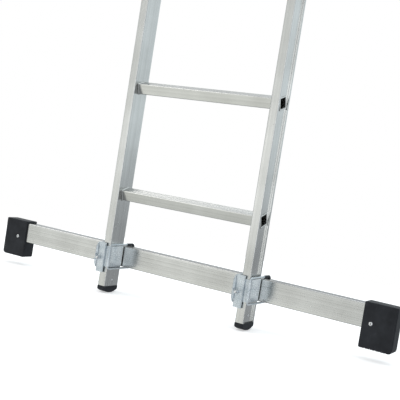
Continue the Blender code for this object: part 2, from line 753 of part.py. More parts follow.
def make_clamp(side, stile_x, beam):
    """Everything that ties one stile to the crossbar; stile_x is the stile's left face."""
    bolt_x = stile_x + BOLT_OFFSET
    reach = 150 * MM
    bore = turned_mesh([(0, reach), (BOLT_HOLE, reach), (BOLT_HOLE, 0), (0, 0)], ALONG_Y)
    bore.transform(Matrix.Translation((bolt_x, BAR_REAR_Y + 20 * MM, BOLT_Z)))
    hole = add_cutter(f"clamp_{side}_bolt_hole", bore)
    cut(beam, hole)
    make_saddle(side, stile_x)
    front_y = make_plate(side, stile_x, hole)
    for place, offset in (("outer", LINK_LEFT), ("inner", LINK_RIGHT)):
        path = link_path(stile_x + offset)
        mesh_object(f"clamp_{side}_link_{place}", tube_mesh(path, WIRE_RADIUS, True), PARTS, ZINC)
        make_sleeve(f"clamp_{side}_sleeve_{place}", stile_x + offset)
    make_bolt(side, bolt_x, front_y)
    make_wing_nut(side, bolt_x, front_y)


# ---------------------------------------------------------------- guides and hooks


def rivet_hole(name, axes, place, length):
    bore = turned_mesh([(0, length), (RIVET_HOLE, length), (RIVET_HOLE, -length), (0, -length)], axes, 16)
    bore.transform(Matrix.Translation(place))
    return add_cutter(name, bore)


def make_base_guide(side, stile):
    """Bracket on the base stile's inner face that reaches forward around the fly stile."""
    sign = 1 if side == "right" else -1
    plate_x = BASE_HALF_WIDTH - STILE_WIDTH - GAP
    inner_x = plate_x - GUIDE_SHEET
    hook_x = FLY_HALF_WIDTH - 18 * MM
    hook_y = GUIDE_FRONT_Y + GUIDE_SHEET
    corners = [
        (plate_x, 50 * MM, 1 * MM),
        (inner_x, 50 * MM, 1 * MM),
        (inner_x, hook_y, 1 * MM),
        (hook_x, hook_y, 1 * MM),
        (hook_x, GUIDE_FRONT_Y, 1 * MM),
        (plate_x, GUIDE_FRONT_Y, 3 * MM),
    ]
    outline = [Vector((sign * point.x, point.y)) for point in rounded_outline(corners, 3)]
    top_z = BASE_GUIDE_Z + GUIDE_HEIGHT
    guide = extrusion(f"base_guide_{side}", [outline], BASE_GUIDE_Z, top_z, ALONG_Z, ALUMINIUM)
    place = Vector((sign * (inner_x - GAP), 30 * MM, BASE_GUIDE_Z + GUIDE_HEIGHT / 2))
    hole = rivet_hole(f"base_guide_rivet_hole_{side}", ALONG_X, place, 10 * MM)
    cut(guide, hole)
    cut(stile, hole)
    grip = GUIDE_SHEET + 2 * GAP + STILE_WALL + GAP
    mesh = turned_mesh(rivet_profile(grip, 4 * MM), ALONG_X, 16)
    if side == "right":
        mesh.transform(Matrix.Rotation(math.pi, 4, "Z"))
    mesh.transform(Matrix.Translation(place))
    mesh_object(f"base_guide_rivet_{side}", mesh, PARTS, STEEL)


def make_fly_guide(side, stile):
    """Strap on the fly stile's rear face that reaches back around the base stile."""
    sign = 1 if side == "right" else -1
    fly_rear = FLY_FRONT_Y + STILE_DEPTH
    start_y = fly_rear + GAP
    outer_x = BASE_HALF_WIDTH + 1.5 * MM + STRAP_SHEET
    rear_y = STILE_DEPTH + 1.5 * MM + STRAP_SHEET
    start_x = FLY_HALF_WIDTH - STILE_WIDTH + 2 * MM
    hook_x = BASE_HALF_WIDTH - 12 * MM
    corners = [
        (start_x, start_y, 0.8 * MM),
        (outer_x, start_y, 3 * MM),
        (outer_x, rear_y, 3 * MM),
        (hook_x, rear_y, 0.8 * MM),
        (hook_x, rear_y - STRAP_SHEET, 0.8 * MM),
        (outer_x - STRAP_SHEET, rear_y - STRAP_SHEET, 1 * MM),
        (outer_x - STRAP_SHEET, start_y + STRAP_SHEET, 1 * MM),
        (start_x, start_y + STRAP_SHEET, 0.8 * MM),
    ]
    outline = [Vector((sign * point.x, point.y)) for point in rounded_outline(corners, 3)]
    low_z = FLY_BOTTOM_Z + FLY_GUIDE_RISE
    guide = extrusion(f"fly_guide_{side}", [outline], low_z, low_z + GUIDE_HEIGHT, ALONG_Z, ALUMINIUM)
    rivet_x = FLY_HALF_WIDTH - STILE_WIDTH + 9 * MM
    rivet_y = start_y + STRAP_SHEET + GAP
    place = Vector((sign * rivet_x, rivet_y, low_z + GUIDE_HEIGHT / 2))
    hole = rivet_hole(f"fly_guide_rivet_hole_{side}", ALONG_Y, place, 8 * MM)
    cut(guide, hole)
    cut(stile, hole)
    grip = STRAP_SHEET + 2 * GAP + STILE_WALL + GAP
    mesh = turned_mesh(rivet_profile(grip, 4 * MM), ALONG_Y, 16)
    mesh.transform(Matrix.Rotation(math.pi, 4, "Z"))
    mesh.transform(Matrix.Translation(place))
    mesh_object(f"fly_guide_rivet_{side}", mesh, PARTS, STEEL)


def hook_outline():
    """Rung hook about its pivot, drawn as it lies over a base rung."""
    corners = [
        (-11 * MM, 11 * MM, 9 * MM),
        (8 * MM, 11 * MM, 4 * MM),
        (79.5 * MM, -8 * MM, 8 * MM),
        (79.5 * MM, -44 * MM, 2 * MM),
        (70.4 * MM, -46 * MM, 2 * MM),
        (70.4 * MM, -24.5 * MM, 1.5 * MM),
        (18 * MM, -24.5 * MM, 6 * MM),
        (8 * MM, -11 * MM, 4 * MM),
        (-11 * MM, -11 * MM, 9 * MM),
    ]
    return rounded_outline(corners, 4)


def make_hook(side, stile):
    """Locking hook swung clear of the base rungs, on a shouldered pin in the fly stile."""
    sign = 1 if side == "right" else -1
    inner_x = FLY_HALF_WIDTH - STILE_WIDTH
    pivot_z = FLY_FIRST_RUNG_Z + HOOK_PIVOT_RISE
    anchor = make_anchor(f"hook_axis_{side}", (sign * inner_x, HOOK_PIVOT_Y, pivot_z))
    anchor.parent = LADDER
    anchor.rotation_euler = (HOOK_RELEASE, 0, 0)
    near = 0.8 * MM
    low, high = sorted((-sign * near, -sign * (near + HOOK_THICKNESS)))
    hook = extrusion(f"fly_hook_{side}", [hook_outline(), circle(0, 0, HOOK_HOLE_RADIUS)], low, high, ALONG_X, ZINC)
    hook.parent = anchor
    soften(hook, 0.6 * MM, 1, 50)
    bore = turned_mesh([(0, 8 * MM), (HOOK_HOLE_RADIUS, 8 * MM), (HOOK_HOLE_RADIUS, -8 * MM), (0, -8 * MM)], ALONG_X)
    bore.transform(Matrix.Translation((sign * inner_x, HOOK_PIVOT_Y, pivot_z)))
    cut(stile, add_cutter(f"hook_pin_hole_{side}", bore))
    head, face = 7 * MM, near + HOOK_THICKNESS + GAP
    profile = [
        (0, face + 3 * MM),
        (head - 0.8 * MM, face + 3 * MM),
        (head, face + 2.2 * MM),
        (head, face),
        (HOOK_PIN_RADIUS, face),
        (HOOK_PIN_RADIUS, -STILE_WALL - 4 * MM),
        (0, -STILE_WALL - 4 * MM),
    ]
    mesh = turned_mesh(profile, ALONG_X)
    if side == "right":
        mesh.transform(Matrix.Rotation(math.pi, 4, "Z"))
    mesh.transform(Matrix.Translation((sign * inner_x, HOOK_PIVOT_Y, pivot_z)))
    mesh_object(f"fly_hook_pin_{side}", mesh, PARTS, STEEL)


# ---------------------------------------------------------------- the whole ladder


def build():
    base = make_section("base", BASE_HALF_WIDTH, 0, BASE_BOTTOM_Z, BASE_TOP_Z, FIRST_RUNG_Z)
    fly = make_section("fly", FLY_HALF_WIDTH, FLY_FRONT_Y, FLY_BOTTOM_Z, FLY_TOP_Z, FLY_FIRST_RUNG_Z)
    beam = make_crossbar()
    for side in ("left", "right"):
        make_foot(side, base[side])
        make_foot_rivet(side)
        make_cap(f"base_top_cap_{side}", side, BASE_HALF_WIDTH, 0, BASE_TOP_Z, True)
        make_cap(f"fly_top_cap_{side}", side, FLY_HALF_WIDTH, FLY_FRONT_Y, FLY_TOP_Z, True)
        make_cap(f"fly_bottom_cap_{side}", side, FLY_HALF_WIDTH, FLY_FRONT_Y, FLY_BOTTOM_Z, False)
        make_base_guide(side, base[side])
        make_fly_guide(side, fly[side])
        make_hook(side, fly[side])
        make_shoe(side, beam)
    make_clamp("left", -BASE_HALF_WIDTH, beam)
    make_clamp("right", BASE_HALF_WIDTH - STILE_WIDTH, beam)


build()
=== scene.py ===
"""Looks of a two-section extension ladder with a stabiliser crossbar clamped on at its foot.

Every piece is drawn about the ladder's own centre plane, with the front of the base stiles at
y = 0 and the floor at z = 0, and is then carried to its place in the shared frame.
"""

from __future__ import annotations

import logging
import math
from collections.abc import Sequence
from dataclasses import dataclass, field
from enum import Enum

import bpy
from mathutils import Euler, Matrix, Vector


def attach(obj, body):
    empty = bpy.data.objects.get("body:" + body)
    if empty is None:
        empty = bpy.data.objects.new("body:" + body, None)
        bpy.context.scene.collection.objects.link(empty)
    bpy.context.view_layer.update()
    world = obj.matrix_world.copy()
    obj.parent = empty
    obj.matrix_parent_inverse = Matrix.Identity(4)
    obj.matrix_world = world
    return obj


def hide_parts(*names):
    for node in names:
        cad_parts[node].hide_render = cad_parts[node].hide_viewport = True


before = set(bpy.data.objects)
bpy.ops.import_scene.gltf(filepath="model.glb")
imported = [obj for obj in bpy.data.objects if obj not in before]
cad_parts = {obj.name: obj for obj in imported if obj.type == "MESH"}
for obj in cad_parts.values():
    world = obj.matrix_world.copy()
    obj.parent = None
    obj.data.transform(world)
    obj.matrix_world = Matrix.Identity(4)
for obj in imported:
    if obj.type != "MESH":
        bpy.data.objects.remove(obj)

LOG = logging.getLogger("ladder")
MM = 0.001
GAP = 0.3 * MM
PAST = 10 * MM  # how far a cutter runs past what it cuts
TO_SHARED_FRAME = Vector((29.5 * MM, -17.2 * MM, 0.0))
BASE_HALF_WIDTH = 217.5 * MM
FLY_HALF_WIDTH = 190.0 * MM
FLY_FRONT_Y = -62.5 * MM
RIVET_HOLE = 2.5 * MM
BOLT_HOLE = 3.3 * MM

# Largest angle, in degrees, that is shaded smooth on each kind of piece.
SECTION_CREASE = 32.0
MOULDED_CREASE = 35.0
TURNED_CREASE = 40.0
WIRE_CREASE = 50.0

Point = tuple[float, float]
Corner = tuple[float, float, float]
Colour = tuple[float, float, float]
Piece = bpy.types.Object
Socket = bpy.types.NodeSocket


class Plane(Enum):
    """The plane that an outline is drawn in; it is pulled along the remaining axis."""

    XY = "drawn on x and y, pulled along z"
    YZ = "drawn on y and z, pulled along x"
    XZ = "drawn on x and z, pulled along y"

    def lift(self, u: float, v: float, w: float) -> Vector:
        """Turns outline coordinates into a point.

        Args:
            u: First coordinate in the plane.
            v: Second coordinate in the plane.
            w: Distance along the axis across the plane.

        Returns:
            The point in the ladder's axes.
        """
        if self is Plane.XY:
            return Vector((u, v, w))
        if self is Plane.YZ:
            return Vector((w, u, v))
        return Vector((u, w, v))


class Axis(Enum):
    """The axis that a round piece is turned about."""

    X = (1.0, 0.0, 0.0)
    Y = (0.0, 1.0, 0.0)

    def profile_point(self, radius: float, height: float) -> Vector:
        """Places a profile point beside the axis.

        Args:
            radius: Distance from the axis.
            height: Distance along the axis.

        Returns:
            The point in the ladder's axes.
        """
        return Vector((height, radius, 0.0) if self is Axis.X else (radius, height, 0.0))


class Side(Enum):
    """The two sides of the ladder, as the climber sees them."""

    LEFT = "left"
    RIGHT = "right"

    @property
    def sign(self) -> int:
        """The sign of x on this side."""
        return -1 if self is Side.LEFT else 1


# ------------------------------------------------------------------ outlines


def mm(*rows: Sequence[float]) -> list[tuple[float, ...]]:
    """Turns rows of millimetres into rows of metres."""
    return [tuple(value * MM for value in row) for row in rows]


def rounded(corners: Sequence[Corner], steps: int = 4) -> list[Point]:
    """Turns the corners of a closed outline into arcs.

    Args:
        corners: Corner places with their radii.
        steps: Straight steps in each arc.

    Returns:
        The outline's points in order.
    """
    points: list[Point] = []
    for index, (x, y, radius) in enumerate(corners):
        if radius <= 0:
            points.append((x, y))
            continue
        here = Vector((x, y))
        before = (Vector(corners[index - 1][:2]) - here).normalized()
        after = (Vector(corners[(index + 1) % len(corners)][:2]) - here).normalized()
        half = before.angle(after) / 2
        centre = here + (before + after).normalized() * (radius / math.sin(half))
        start = here + before * (radius / math.tan(half)) - centre
        end = here + after * (radius / math.tan(half)) - centre
        turn = -start.angle_signed(end)
        for step in range(steps + 1):
            spoke = start.copy()
            spoke.rotate(Matrix.Rotation(turn * step / steps, 2))
            points.append(tuple(centre + spoke))
    return points


def rectangle(u: Point, v: Point, radius: float, steps: int = 4) -> list[Point]:
    """Draws a rectangle with equal corner radii.

    Args:
        u: Low and high first coordinate.
        v: Low and high second coordinate.
        radius: Corner radius.
        steps: Straight steps in each corner.

    Returns:
        The outline's points in order.
    """
    corners = ((u[0], v[0]), (u[1], v[0]), (u[1], v[1]), (u[0], v[1]))
    return rounded([(*corner, radius) for corner in corners], steps)


def circle(u: float, v: float, radius: float, sides: int = 40) -> list[Point]:
    """Draws a circle as a many-sided outline.

    Args:
        u: Centre, first coordinate.
        v: Centre, second coordinate.
        radius: Radius.
        sides: Number of sides.

    Returns:
        The outline's points in order.
    """
    turns = [2 * math.pi * side / sides for side in range(sides)]
    return [(u + radius * math.cos(turn), v + radius * math.sin(turn)) for turn in turns]


def ribbed(start: Point, end: Point, count: int, width: float, depth: float) -> list[Point]:
    """Cuts shallow lengthwise grooves into a straight stretch of an outline, on its left.

    Args:
        start: Where the stretch starts.
        end: Where it ends.
        count: Number of grooves, evenly spaced.
        width: Width of a groove at its mouth.
        depth: Depth of a groove.

    Returns:
        The extra points between start and end.
    """
    first, last = Vector(start), Vector(end)
    along = (last - first).normalized()
    inward = Vector((-along.y, along.x)) * depth
    mouth, floor = along * (width / 2), along * (width / 4)
    points: list[Point] = []
    for index in range(count):
        middle = first + (last - first) * ((index + 0.5) / count)
        groove = (middle - mouth, middle - floor + inward, middle + floor + inward, middle + mouth)
        points += [tuple(point) for point in groove]
    return points


def set_rivet(grip: float, head: float) -> list[Point]:
    """Draws the profile of a set rivet: head above zero, shank through the grip, tail below.

    Args:
        grip: Thickness of what it holds.
        head: Head radius.

    Returns:
        Pairs of radius and height.
    """
    rise, shank = 1.1 * MM, 2.2 * MM
    turns = [math.pi / 2 * step / 8 for step in range(9)]
    dome = [(head * math.sin(turn), rise * math.cos(turn)) for turn in turns]
    tail = [(head * 0.85 * math.cos(turn), -grip - rise * math.sin(turn)) for turn in turns[:-1]]
    return dome + [(shank, 0.0), (shank, -grip)] + tail + [(0.0, -grip - rise)]


# ------------------------------------------------------------------ modelling steps


def clear() -> None:
    """Leaves nothing selected, in object mode."""
    if bpy.context.object is not None and bpy.context.object.mode != "OBJECT":
        bpy.ops.object.mode_set(mode="OBJECT")
    bpy.ops.object.select_all(action="DESELECT")


def take(piece: Piece) -> None:
    """Makes one piece the only selected and active one.

    Args:
        piece: The piece to work on.
    """
    clear()
    piece.select_set(True)
    bpy.context.view_layer.objects.active = piece


def edit_new() -> Piece:
    """Leaves a newly added piece's place in its mesh, and selects all of it in edit mode.

    Returns:
        The piece.
    """
    bpy.ops.object.transform_apply(location=True, rotation=True, scale=True)
    bpy.ops.object.mode_set(mode="EDIT")
    bpy.ops.mesh.select_all(action="SELECT")
    return bpy.context.active_object


def pull(step: Sequence[float]) -> None:
    """Extrudes what is selected by a step."""
    bpy.ops.mesh.extrude_region_move(TRANSFORM_OT_translate={"value": step})


def start_line(points: Sequence[Vector]) -> Piece:
    """Draws an open line by pulling one vertex along, and stays in edit mode.

    Args:
        points: Places on the line, in order.

    Returns:
        The new piece, with its whole line selected.
    """
    clear()
    bpy.ops.mesh.primitive_plane_add(size=0.002, location=points[0])
    piece = edit_new()
    bpy.ops.mesh.merge(type="CENTER")
    for before, after in zip(points, points[1:]):
        pull(after - before)
    bpy.ops.mesh.select_all(action="SELECT")
    return piece


def finish_mesh() -> None:
    """Merges doubled vertices, points all faces outwards and leaves edit mode."""
    bpy.ops.mesh.select_all(action="SELECT")
    bpy.ops.mesh.remove_doubles(threshold=0.002 * MM)
    bpy.ops.mesh.normals_make_consistent(inside=False)
    bpy.ops.object.mode_set(mode="OBJECT")


def prism(outline: Sequence[Point], low: float, high: float, plane: Plane) -> Piece:
    """Fills an outline and pulls it straight.

    Args:
        outline: Closed outline.
        low: Where the piece starts along the pull.
        high: Where it ends.
        plane: Plane of the outline.

    Returns:
        The closed piece.
    """
    piece = start_line([plane.lift(u, v, low) for u, v in outline])
    bpy.ops.mesh.edge_face_add()
    pull(plane.lift(0.0, 0.0, high - low))
    finish_mesh()
    return piece


def loft(outline: Sequence[Point], stations: Sequence[Point], half: Point) -> Piece:
    """Pulls an outline along x, growing or shrinking it at each station.

    Args:
        outline: Closed outline about the x axis.
        stations: Pairs of x and the amount by which the outline stands out there.
        half: Half of the outline's size in y and z.

    Returns:
        The closed piece.
    """
    sizes = [((half[0] + grow) / half[0], (half[1] + grow) / half[1]) for _, grow in stations]
    start_x = stations[0][0]
    piece = start_line([Vector((start_x, u * sizes[0][0], v * sizes[0][1])) for u, v in outline])
    bpy.ops.mesh.edge_face_add()
    for index in range(1, len(stations)):
        x = stations[index][0]
        ratio = [sizes[index][k] / sizes[index - 1][k] for k in (0, 1)]
        pull((x - stations[index - 1][0], 0.0, 0.0))
        bpy.ops.transform.resize(value=(1.0, *ratio), center_override=(x, 0.0, 0.0))
    finish_mesh()
    return piece


def turned(
    profile: Sequence[Point],
    place: Sequence[float],
    axis: Axis,
    flip: bool = False,
    sides: int = 40,
) -> Piece:
    """Turns a profile into a round piece, as on a lathe.

    Args:
        profile: Pairs of radius and height.
        place: Where the profile's zero height lies.
        axis: Axis of turning.
        flip: Whether heights run against the axis.
        sides: Steps round the piece.

    Returns:
        The closed piece.
    """
    centre = Vector(place)
    sign = -1.0 if flip else 1.0
    points = [centre + axis.profile_point(radius, sign * height) for radius, height in profile]
    piece = start_line(points)
    bpy.ops.mesh.spin(steps=sides, angle=2 * math.pi, center=centre, axis=axis.value)
    finish_mesh()
    return piece


def bend(centre: Sequence[float]) -> None:
    """Bends what is selected by a quarter turn about x."""
    bpy.ops.mesh.spin(steps=8, angle=math.pi / 2, center=centre, axis=Axis.X.value)


def block(low: Sequence[float], high: Sequence[float]) -> Piece:
    """Adds a cube at its size and place, as a cutter.

    Args:
        low: Lowest corner.
        high: Highest corner.

    Returns:
        The piece.
    """
    clear()
    centre = [(a + b) / 2 for a, b in zip(low, high)]
    size = [b - a for a, b in zip(low, high)]
    bpy.ops.mesh.primitive_cube_add(size=1.0, location=centre, scale=size)
    bpy.ops.object.transform_apply(location=True, rotation=True, scale=True)
    return bpy.context.active_object


def modifier(piece: Piece, kind: str, **settings: object) -> None:
    """Adds a modifier and applies it at once.

    Args:
        piece: The piece to work on.
        kind: Modifier type.
        **settings: Modifier settings by name.
    """
    take(piece)
    added = piece.modifiers.new(kind.title(), kind)
    for setting, value in settings.items():
        setattr(added, setting, value)
    bpy.ops.object.modifier_apply(modifier=added.name)


def combine(piece: Piece, operation: str, other: Piece) -> None:
    """Unites a piece with another or cuts the other away, and removes the other.

    Args:
        piece: The piece to work on.
        operation: "UNION" or "DIFFERENCE".
        other: The piece to unite or cut away.
    """
    modifier(piece, "BOOLEAN", operation=operation, object=other, solver="EXACT")
    bpy.data.objects.remove(other)


def drill(
    piece: Piece, place: Sequence[float], radius: float, axis: Axis, reach: float, sides: int = 24
) -> None:
    """Cuts a round hole through a piece.

    Args:
        piece: The piece to work on.
        place: Centre of the hole.
        radius: Its radius.
        axis: Its axis.
        reach: How far it goes from its centre, both ways.
        sides: Steps round the hole.
    """
    profile = [(0.0, reach), (radius, reach), (radius, -reach), (0.0, -reach)]
    combine(piece, "DIFFERENCE", turned(profile, place, axis, sides=sides))


def soften(piece: Piece, width: float, segments: int = 3, angle: float = 50.0) -> Piece:
    """Rounds a piece's sharp edges and shades it smooth.

    Args:
        piece: The piece to work on.
        width: Bevel width.
        segments: Bevel segments.
        angle: Smallest edge angle that is rounded, in degrees.

    Returns:
        The piece.
    """
    limits = {"limit_method": "ANGLE", "angle_limit": math.radians(angle)}
    modifier(piece, "BEVEL", width=width, segments=segments, **limits)
    return smooth(piece, MOULDED_CREASE)


def smooth(piece: Piece, angle: float) -> Piece:
    """Shades a piece smooth where its faces meet at less than an angle.

    Args:
        piece: The piece to work on.
        angle: Largest smooth angle, in degrees.

    Returns:
        The piece.
    """
    take(piece)
    bpy.ops.object.shade_smooth_by_angle(angle=math.radians(angle))
    return piece


def carry(piece: Piece, matrix: Matrix) -> Piece:
    """Moves a piece and leaves its place in its mesh.

    Args:
        piece: The piece to move.
        matrix: The move.

    Returns:
        The piece.
    """
    take(piece)
    piece.matrix_world = matrix @ piece.matrix_world
    bpy.ops.object.transform_apply(location=True, rotation=True, scale=True)
    return piece


def copy(piece: Piece, matrix: Matrix) -> Piece:
    """Copies a piece with a mesh of its own and moves the copy.

    Args:
        piece: The piece to copy.
        matrix: The copy's move from the original's place.

    Returns:
        The copy.
    """
    take(piece)
    bpy.ops.object.duplicate(linked=False)
    return carry(bpy.context.active_object, matrix)


def mirror_copy(piece: Piece, angle: float) -> Piece:
    """Copies a piece to the other side of the ladder.

    Args:
        piece: The piece to copy.
        angle: Largest smooth angle, in degrees.

    Returns:
        The mirrored copy, with its faces pointing outwards.
    """
    twin = copy(piece, Matrix.Scale(-1.0, 4, (1.0, 0.0, 0.0)))
    take(twin)
    bpy.ops.object.mode_set(mode="EDIT")
    finish_mesh()
    return smooth(twin, angle)


# ------------------------------------------------------------------ finishes


class NodeTree:
    """The nodes of a material or of the sky."""

    def __init__(self, owner: bpy.types.Material | bpy.types.World) -> None:
        """Takes up the nodes of a new material or world.

        Args:
            owner: The material or world.
        """
        owner.use_nodes = True
        self.owner = owner
        self.tree = owner.node_tree

    def fill(self, target: Socket, value: object) -> None:
        """Gives an input a value, or joins it to another node's output.

        Args:
            target: The input.
            value: The value or the output.
        """
        if isinstance(value, Socket):
            self.tree.links.new(value, target)
        else:
            target.default_value = value

    def add(
        self, kind: str, *values: object, setup: dict[str, object] | None = None, **named: object
    ) -> bpy.types.Node:
        """Adds a node and fills its inputs.

        Args:
            kind: Node type, without its prefix.
            *values: What the first inputs get, in order.
            setup: The node's own settings.
            **named: What other inputs get, by name, with _ for a space.

        Returns:
            The node.
        """
        node = self.tree.nodes.new("ShaderNode" + kind)
        for setting, value in (setup or {}).items():
            setattr(node, setting, value)
        for index, value in enumerate(values):
            self.fill(node.inputs[index], value)
        for name, value in named.items():
            self.fill(node.inputs[name.replace("_", " ")], value)
        return node


class FinishSheet(NodeTree):
    """The nodes of one finish, with short calls for its patterns."""

    def __init__(self, name: str) -> None:
        """Starts a material.

        Args:
            name: Name of the material.
        """
        super().__init__(bpy.data.materials.new(name))
        self.coordinates = self.add("TexCoord").outputs["Object"]

    def shade(self, **inputs: object) -> None:
        """Fills the shader's own inputs.

        Args:
            **inputs: Values or outputs by name, with _ for a space.
        """
        for name, value in inputs.items():
            self.fill(self.tree.nodes["Principled BSDF"].inputs[name.replace("_", " ")], value)

    def noise(self, scale: float, detail: float = 3.0, stretch: Corner = (1.0, 1.0, 1.0)) -> Socket:
        """Adds noise on stretched Object coordinates.

        Args:
            scale: Overall scale, per metre.
            detail: Noise detail.
            stretch: Scale of the pattern along each axis.

        Returns:
            The noise value.
        """
        mapping = self.add("Mapping", Vector=self.coordinates, Scale=stretch)
        noise = self.add("TexNoise", Vector=mapping.outputs["Vector"], Scale=scale, Detail=detail)
        return noise.outputs["Fac"]

    def cells(self, scale: float) -> Socket:
        """Adds small random cells, as plating crystals have."""
        return self.add("TexVoronoi", Vector=self.coordinates, Scale=scale).outputs["Color"]

    def ramp(
        self, source: Socket, start: float, end: float, low: float = 0.0, high: float = 1.0
    ) -> Socket:
        """Maps a value from one range to another, held at both ends.

        Args:
            source: The value.
            start: Result at low.
            end: Result at high.
            low: Value that gives start.
            high: Value that gives end.

        Returns:
            The mapped value.
        """
        spans = {"From_Min": low, "From_Max": high, "To_Min": start, "To_Max": end}
        return self.add("MapRange", Value=source, **spans).outputs["Result"]

    def total(self, first: Socket, second: Socket) -> Socket:
        """Adds two values."""
        return self.add("Math", first, second).outputs[0]

    def tint(self, source: Socket, low: Colour, high: Colour) -> Socket:
        """Mixes two colours by a value.

        Args:
            source: Mixing value from 0 to 1.
            low: Colour at 0.
            high: Colour at 1.

        Returns:
            The colour.
        """
        node = self.add("ValToRGB", Fac=source)
        for element, colour in zip(node.color_ramp.elements, (low, high)):
            element.color = (*colour, 1.0)
        return node.outputs["Color"]

    def edges(self, radius: float) -> Socket:
        """Finds a piece's edges: 1 on a worn edge, 0 on a flat face.

        Args:
            radius: How far the wear reaches from an edge.

        Returns:
            The wear value.
        """
        bevel = self.add("Bevel", setup={"samples": 4}, Radius=radius).outputs["Normal"]
        normal = self.add("NewGeometry").outputs["Normal"]
        dot = self.add("VectorMath", bevel, normal, setup={"operation": "DOT_PRODUCT"})
        return self.ramp(dot.outputs["Value"], 0.0, 1.0, 0.98, 0.80)

    def bump(self, height: Socket, distance: float, strength: float) -> None:
        """Sends a height to the shader's normal.

        Args:
            height: The height value.
            distance: Depth of the relief in metres.
            strength: Share of the relief that shows.
        """
        node = self.add("Bump", Distance=distance, Strength=strength, Height=height)
        self.shade(Normal=node.outputs["Normal"])


class Grain(Enum):
    """Direction of the die lines on an extrusion, as a stretch of the pattern on each axis."""

    ALONG_X = (0.004, 1.0, 1.0)
    ALONG_Z = (1.0, 1.0, 0.004)


@dataclass(frozen=True)
class ExtrudedAluminium:
    """Mill-finished extrusion: die lines, handling scratches and bright edges, with painted
    reflection streaks (soft clouds and lengthwise bands) in its colour.
    """

    grain: Grain
    dull: Colour = (0.50, 0.50, 0.485)
    bright: Colour = (0.74, 0.745, 0.73)
    roughness: float = 0.20
    slot: str = "extruded_aluminium"

    def material(self) -> bpy.types.Material:
        """Makes the material."""
        sheet = FinishSheet(f"aluminium_{self.grain.name.lower()}")
        die_lines = sheet.noise(900.0, 4.0, self.grain.value)
        bands = sheet.noise(160.0, 2.0, self.grain.value)
        scuffs = sheet.noise(420.0, 6.0, (0.35, 1.0, 0.22))
        marks = sheet.ramp(scuffs, 0.0, 1.0, 0.66, 0.72)
        # Painted reflection: soft clouds and lengthwise bands lighten and darken the base colour
        # like streaks of reflected light; the edge term below adds brighter worn edges.
        clouding = sheet.ramp(sheet.noise(9.0), 0.05, 0.55, 0.3, 0.7)
        body = sheet.total(clouding, sheet.ramp(bands, 0.0, 0.3, 0.3, 0.7))
        painted_sheen_and_wear = sheet.total(body, sheet.ramp(sheet.edges(0.6 * MM), 0.0, 0.35))
        grainy = sheet.ramp(die_lines, self.roughness - 0.05, self.roughness + 0.07, 0.3, 0.7)
        ridges = sheet.ramp(die_lines, 0.0, 1.0, 0.2, 0.8)
        sheet.shade(
            Base_Color=sheet.tint(painted_sheen_and_wear, self.dull, self.bright),
            Metallic=1.0,
            Roughness=sheet.total(grainy, sheet.ramp(marks, 0.0, 0.10)),
        )
        sheet.bump(sheet.total(ridges, sheet.ramp(marks, 0.0, -0.4)), 0.03 * MM, 0.25)
        return sheet.owner


@dataclass(frozen=True)
class ZincPlate:
    """Bright zinc on steel: fine crystals, a bluish cast that drifts, and paler worn edges."""

    blue: Colour = (0.44, 0.495, 0.53)
    pale: Colour = (0.78, 0.81, 0.825)
    roughness: float = 0.24
    slot: str = "zinc_plated_steel"

    def material(self) -> bpy.types.Material:
        """Makes the material."""
        sheet = FinishSheet("zinc_plate")
        crystals, drift = sheet.cells(1400.0), sheet.noise(45.0)
        spots = sheet.ramp(sheet.noise(260.0, 5.0), 0.0, 1.0, 0.62, 0.72)
        wear = sheet.ramp(sheet.edges(0.5 * MM), 0.0, 0.45)
        cast = sheet.total(sheet.ramp(drift, 0.0, 0.55, 0.3, 0.7), wear)
        fine = sheet.ramp(crystals, self.roughness - 0.04, self.roughness + 0.06)
        sheet.shade(
            Base_Color=sheet.tint(cast, self.blue, self.pale),
            Metallic=0.55,
            Roughness=sheet.total(fine, sheet.ramp(spots, 0.0, 0.14)),
        )
        sheet.bump(sheet.total(crystals, drift), 0.04 * MM, 0.25)
        return sheet.owner


@dataclass(frozen=True)
class BlackPlastic:
    """Moulded black plastic: fine spark grain, greyish scuffs and rubbed edges."""

    deep: Colour = (0.006, 0.0072, 0.0105)
    rubbed: Colour = (0.045, 0.050, 0.060)
    roughness: float = 0.50
    slot: str = "black_plastic"

    def material(self) -> bpy.types.Material:
        """Makes the material."""
        sheet = FinishSheet("black_plastic")
        spark = sheet.noise(1900.0, 2.0)
        scuffs = sheet.ramp(sheet.noise(300.0, 6.0, (1.0, 0.5, 0.25)), 0.0, 1.0, 0.62, 0.74)
        clouding = sheet.ramp(sheet.noise(38.0, 4.0), 0.0, 0.25, 0.3, 0.7)
        shade = sheet.total(clouding, sheet.ramp(sheet.edges(0.9 * MM), 0.0, 0.5))
        shade = sheet.total(shade, sheet.ramp(scuffs, 0.0, 0.22))
        fine = sheet.ramp(spark, self.roughness - 0.06, self.roughness + 0.06, 0.2, 0.8)
        sheet.shade(
            Base_Color=sheet.tint(shade, self.deep, self.rubbed),
            Specular_IOR_Level=0.28,
            Roughness=sheet.total(fine, sheet.ramp(scuffs, 0.0, 0.12)),
        )
        sheet.bump(spark, 0.06 * MM, 0.4)
        return sheet.owner


@dataclass(frozen=True)
class RivetSteel:
    """Smooth set steel: light tool marks and a darker film in the low places."""

    film: Colour = (0.52, 0.53, 0.54)
    bright: Colour = (0.84, 0.845, 0.85)
    roughness: float = 0.24
    slot: str = "rivet_steel"

    def material(self) -> bpy.types.Material:
        """Makes the material."""
        sheet = FinishSheet("rivet_steel")
        film = sheet.ramp(sheet.noise(330.0, 4.0), 0.2, 1.0, 0.3, 0.6)
        marks = sheet.noise(2100.0, 2.0)
        sheet.shade(
            Base_Color=sheet.tint(film, self.film, self.bright),
            Metallic=1.0,
            Roughness=sheet.ramp(marks, self.roughness - 0.05, self.roughness + 0.12, 0.2, 0.8),
        )
        sheet.bump(marks, 0.03 * MM, 0.3)
        return sheet.owner


Finish = ExtrudedAluminium | ZincPlate | BlackPlastic | RivetSteel


